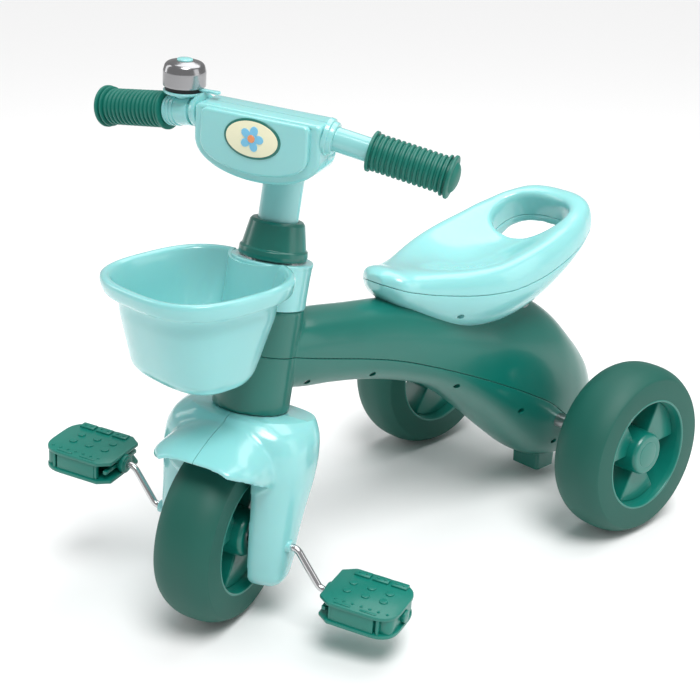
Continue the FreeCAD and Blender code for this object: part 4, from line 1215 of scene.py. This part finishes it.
def make_bell():
    foot = BAR_RADIUS + 2.6
    base = rounded(
        [(foot - 1, 0), (foot - 1, 8), (foot + 3.4, 10), (foot + 3.4, 19.2), (foot + 6.2, 19.8),
         (foot + 6.2, 0)],
        [0, 0, 1, 1.2, 1.0, 0], 4,
    )
    bell_piece("bell_base_mesh", base, MATERIALS["mint"], ["bell_base"])
    # A near-black ring that paints the shade in the gap between the bell's base and its dome; it stands in
    # for the lever pin.
    gap = [(foot + 6.0, 0), (foot + 6.0, 17.6), (foot + 11, 17.6), (foot + 11, 0)]
    bell_piece("bell_gap_painted_shade", gap, MATERIALS["dark"], ["bell_lever_pin"])
    top = foot + 33.5
    outside = rounded(
        [(foot + 10.2, 18.2), (foot + 10.2, 19.9), (foot + 11.4, 20.0),
         (foot + 24, 20.0), (foot + 31.0, 18.0), (top, 9.5), (top + 0.4, 0)],
        [0, 0.3, 0.6, 8, 7, 6, 0], 9,
    )
    inside = [(top - 0.8, 0.0), (foot + 30.4, 16.6), (foot + 24, 18.8)]
    dome = inside + [tuple(p) for p in outside]
    bell_piece("bell_dome_mesh", dome, MATERIALS["bell"], ["bell_dome"])
    cap = rounded([(top - 0.6, 0), (top - 0.6, 7.6), (top + 1.4, 7.2), (top + 2.2, 0)], [0, 0.3, 1.0, 0], 4)
    bell_piece("bell_cap_mesh", cap, MATERIALS["mint"], ["bell_cap"])
    lever_outline = rounded(
        [(8, -3.2), (26, -2.6), (36, -4.4), (38.5, 0), (36, 4.4), (26, 2.6), (8, 3.2)],
        [1, 4, 3, 3, 3, 4, 1], 5, True,
    )
    lever = slab(lever_outline, foot + 7.7, foot + 9.9)
    lever = bevelled(new_object("bell_lever_mesh", placed(lever, bell_place())), 0.7, 3)
    finish_piece(lever, "bell_lever", MATERIALS["mint"], ["bell_lever"], True)


make_bell()

# ---------------------------------------------------------------- carried-over CAD nodes

CARRIED = {
    "rear_axle": "steel",
    "axle_push_nuts": "steel",
    "axle_spacers": "steel",
    "body_screws": "steel",
    "seat_screws": "steel",
    "fork_screws": "steel",
    "cover_screws": "steel",
    "steering_bushes": "bush",
    "crank_bushes": "mint",
    "bell_clamp": "mint",
    "rear_foot": "green",
}
for node, key in CARRIED.items():
    mesh = frame["nodes"][node].data
    mesh.materials.clear()
    mesh.materials.append(MATERIALS[key])

# ---------------------------------------------------------------- stage


def make_stage():
    bpy.ops.mesh.primitive_plane_add(size=14, location=(0, 0, 0))
    floor = bpy.context.object
    floor.name = "floor"
    paint = bpy.data.materials.new("pale_floor")
    paint.use_nodes = True
    shader = paint.node_tree.nodes["Principled BSDF"]
    shader.inputs["Base Color"].default_value = (0.9, 0.9, 0.9, 1)
    shader.inputs["Roughness"].default_value = 0.75
    floor.data.materials.append(paint)
    world = bpy.data.worlds.new("studio")
    world.use_nodes = True
    world.node_tree.nodes["Background"].inputs["Color"].default_value = (1, 1, 1, 1)
    world.node_tree.nodes["Background"].inputs["Strength"].default_value = 0.38
    bpy.context.scene.world = world


def area_light(name, location, target, size, power):
    data = bpy.data.lights.new(name, "AREA")
    data.shape = "RECTANGLE"
    data.size, data.size_y = size
    data.energy = power
    light = bpy.data.objects.new(name, data)
    light.location = location
    light.rotation_euler = (Vector(target) - Vector(location)).to_track_quat("-Z", "Y").to_euler()
    bpy.context.scene.collection.objects.link(light)


def sun_light(name, towards, strength, spread):
    """A broad sun: towards points at it, and spread is its width in degrees."""
    data = bpy.data.lights.new(name, "SUN")
    data.energy = strength
    data.angle = math.radians(spread)
    light = bpy.data.objects.new(name, data)
    light.rotation_euler = Vector(towards).to_track_quat("Z", "Y").to_euler()
    bpy.context.scene.collection.objects.link(light)


def make_camera():
    """The camera stands where the picture was taken from: its place, and which way its back faces."""
    data = bpy.data.cameras.new("camera")
    data.sensor_width = 36.0
    data.lens = 77.9
    camera = bpy.data.objects.new("camera", data)
    camera.location = Vector((1070.2, -1020.9, 811.7)) * MM
    back = Vector((0.6866, -0.6256, 0.3704))
    camera.rotation_euler = back.to_track_quat("Z", "Y").to_euler()
    bpy.context.scene.collection.objects.link(camera)
    bpy.context.scene.camera = camera


make_stage()
sun_light("key_sun", (0.6, -0.25, 1.3), 2.3, 30)
area_light("overhead", (-0.1, 0.5, 1.7), (0, 0.1, 0.3), (1.6, 1.2), 14)
area_light("right_softbox", (1.7, 0.9, 0.9), (0, 0, 0.25), (1.0, 1.4), 5)
area_light("left_strip", (-1.5, -0.9, 1.2), (0, 0, 0.25), (0.5, 1.6), 5)
make_camera()

scene = bpy.context.scene
scene.view_settings.view_transform = "Standard"
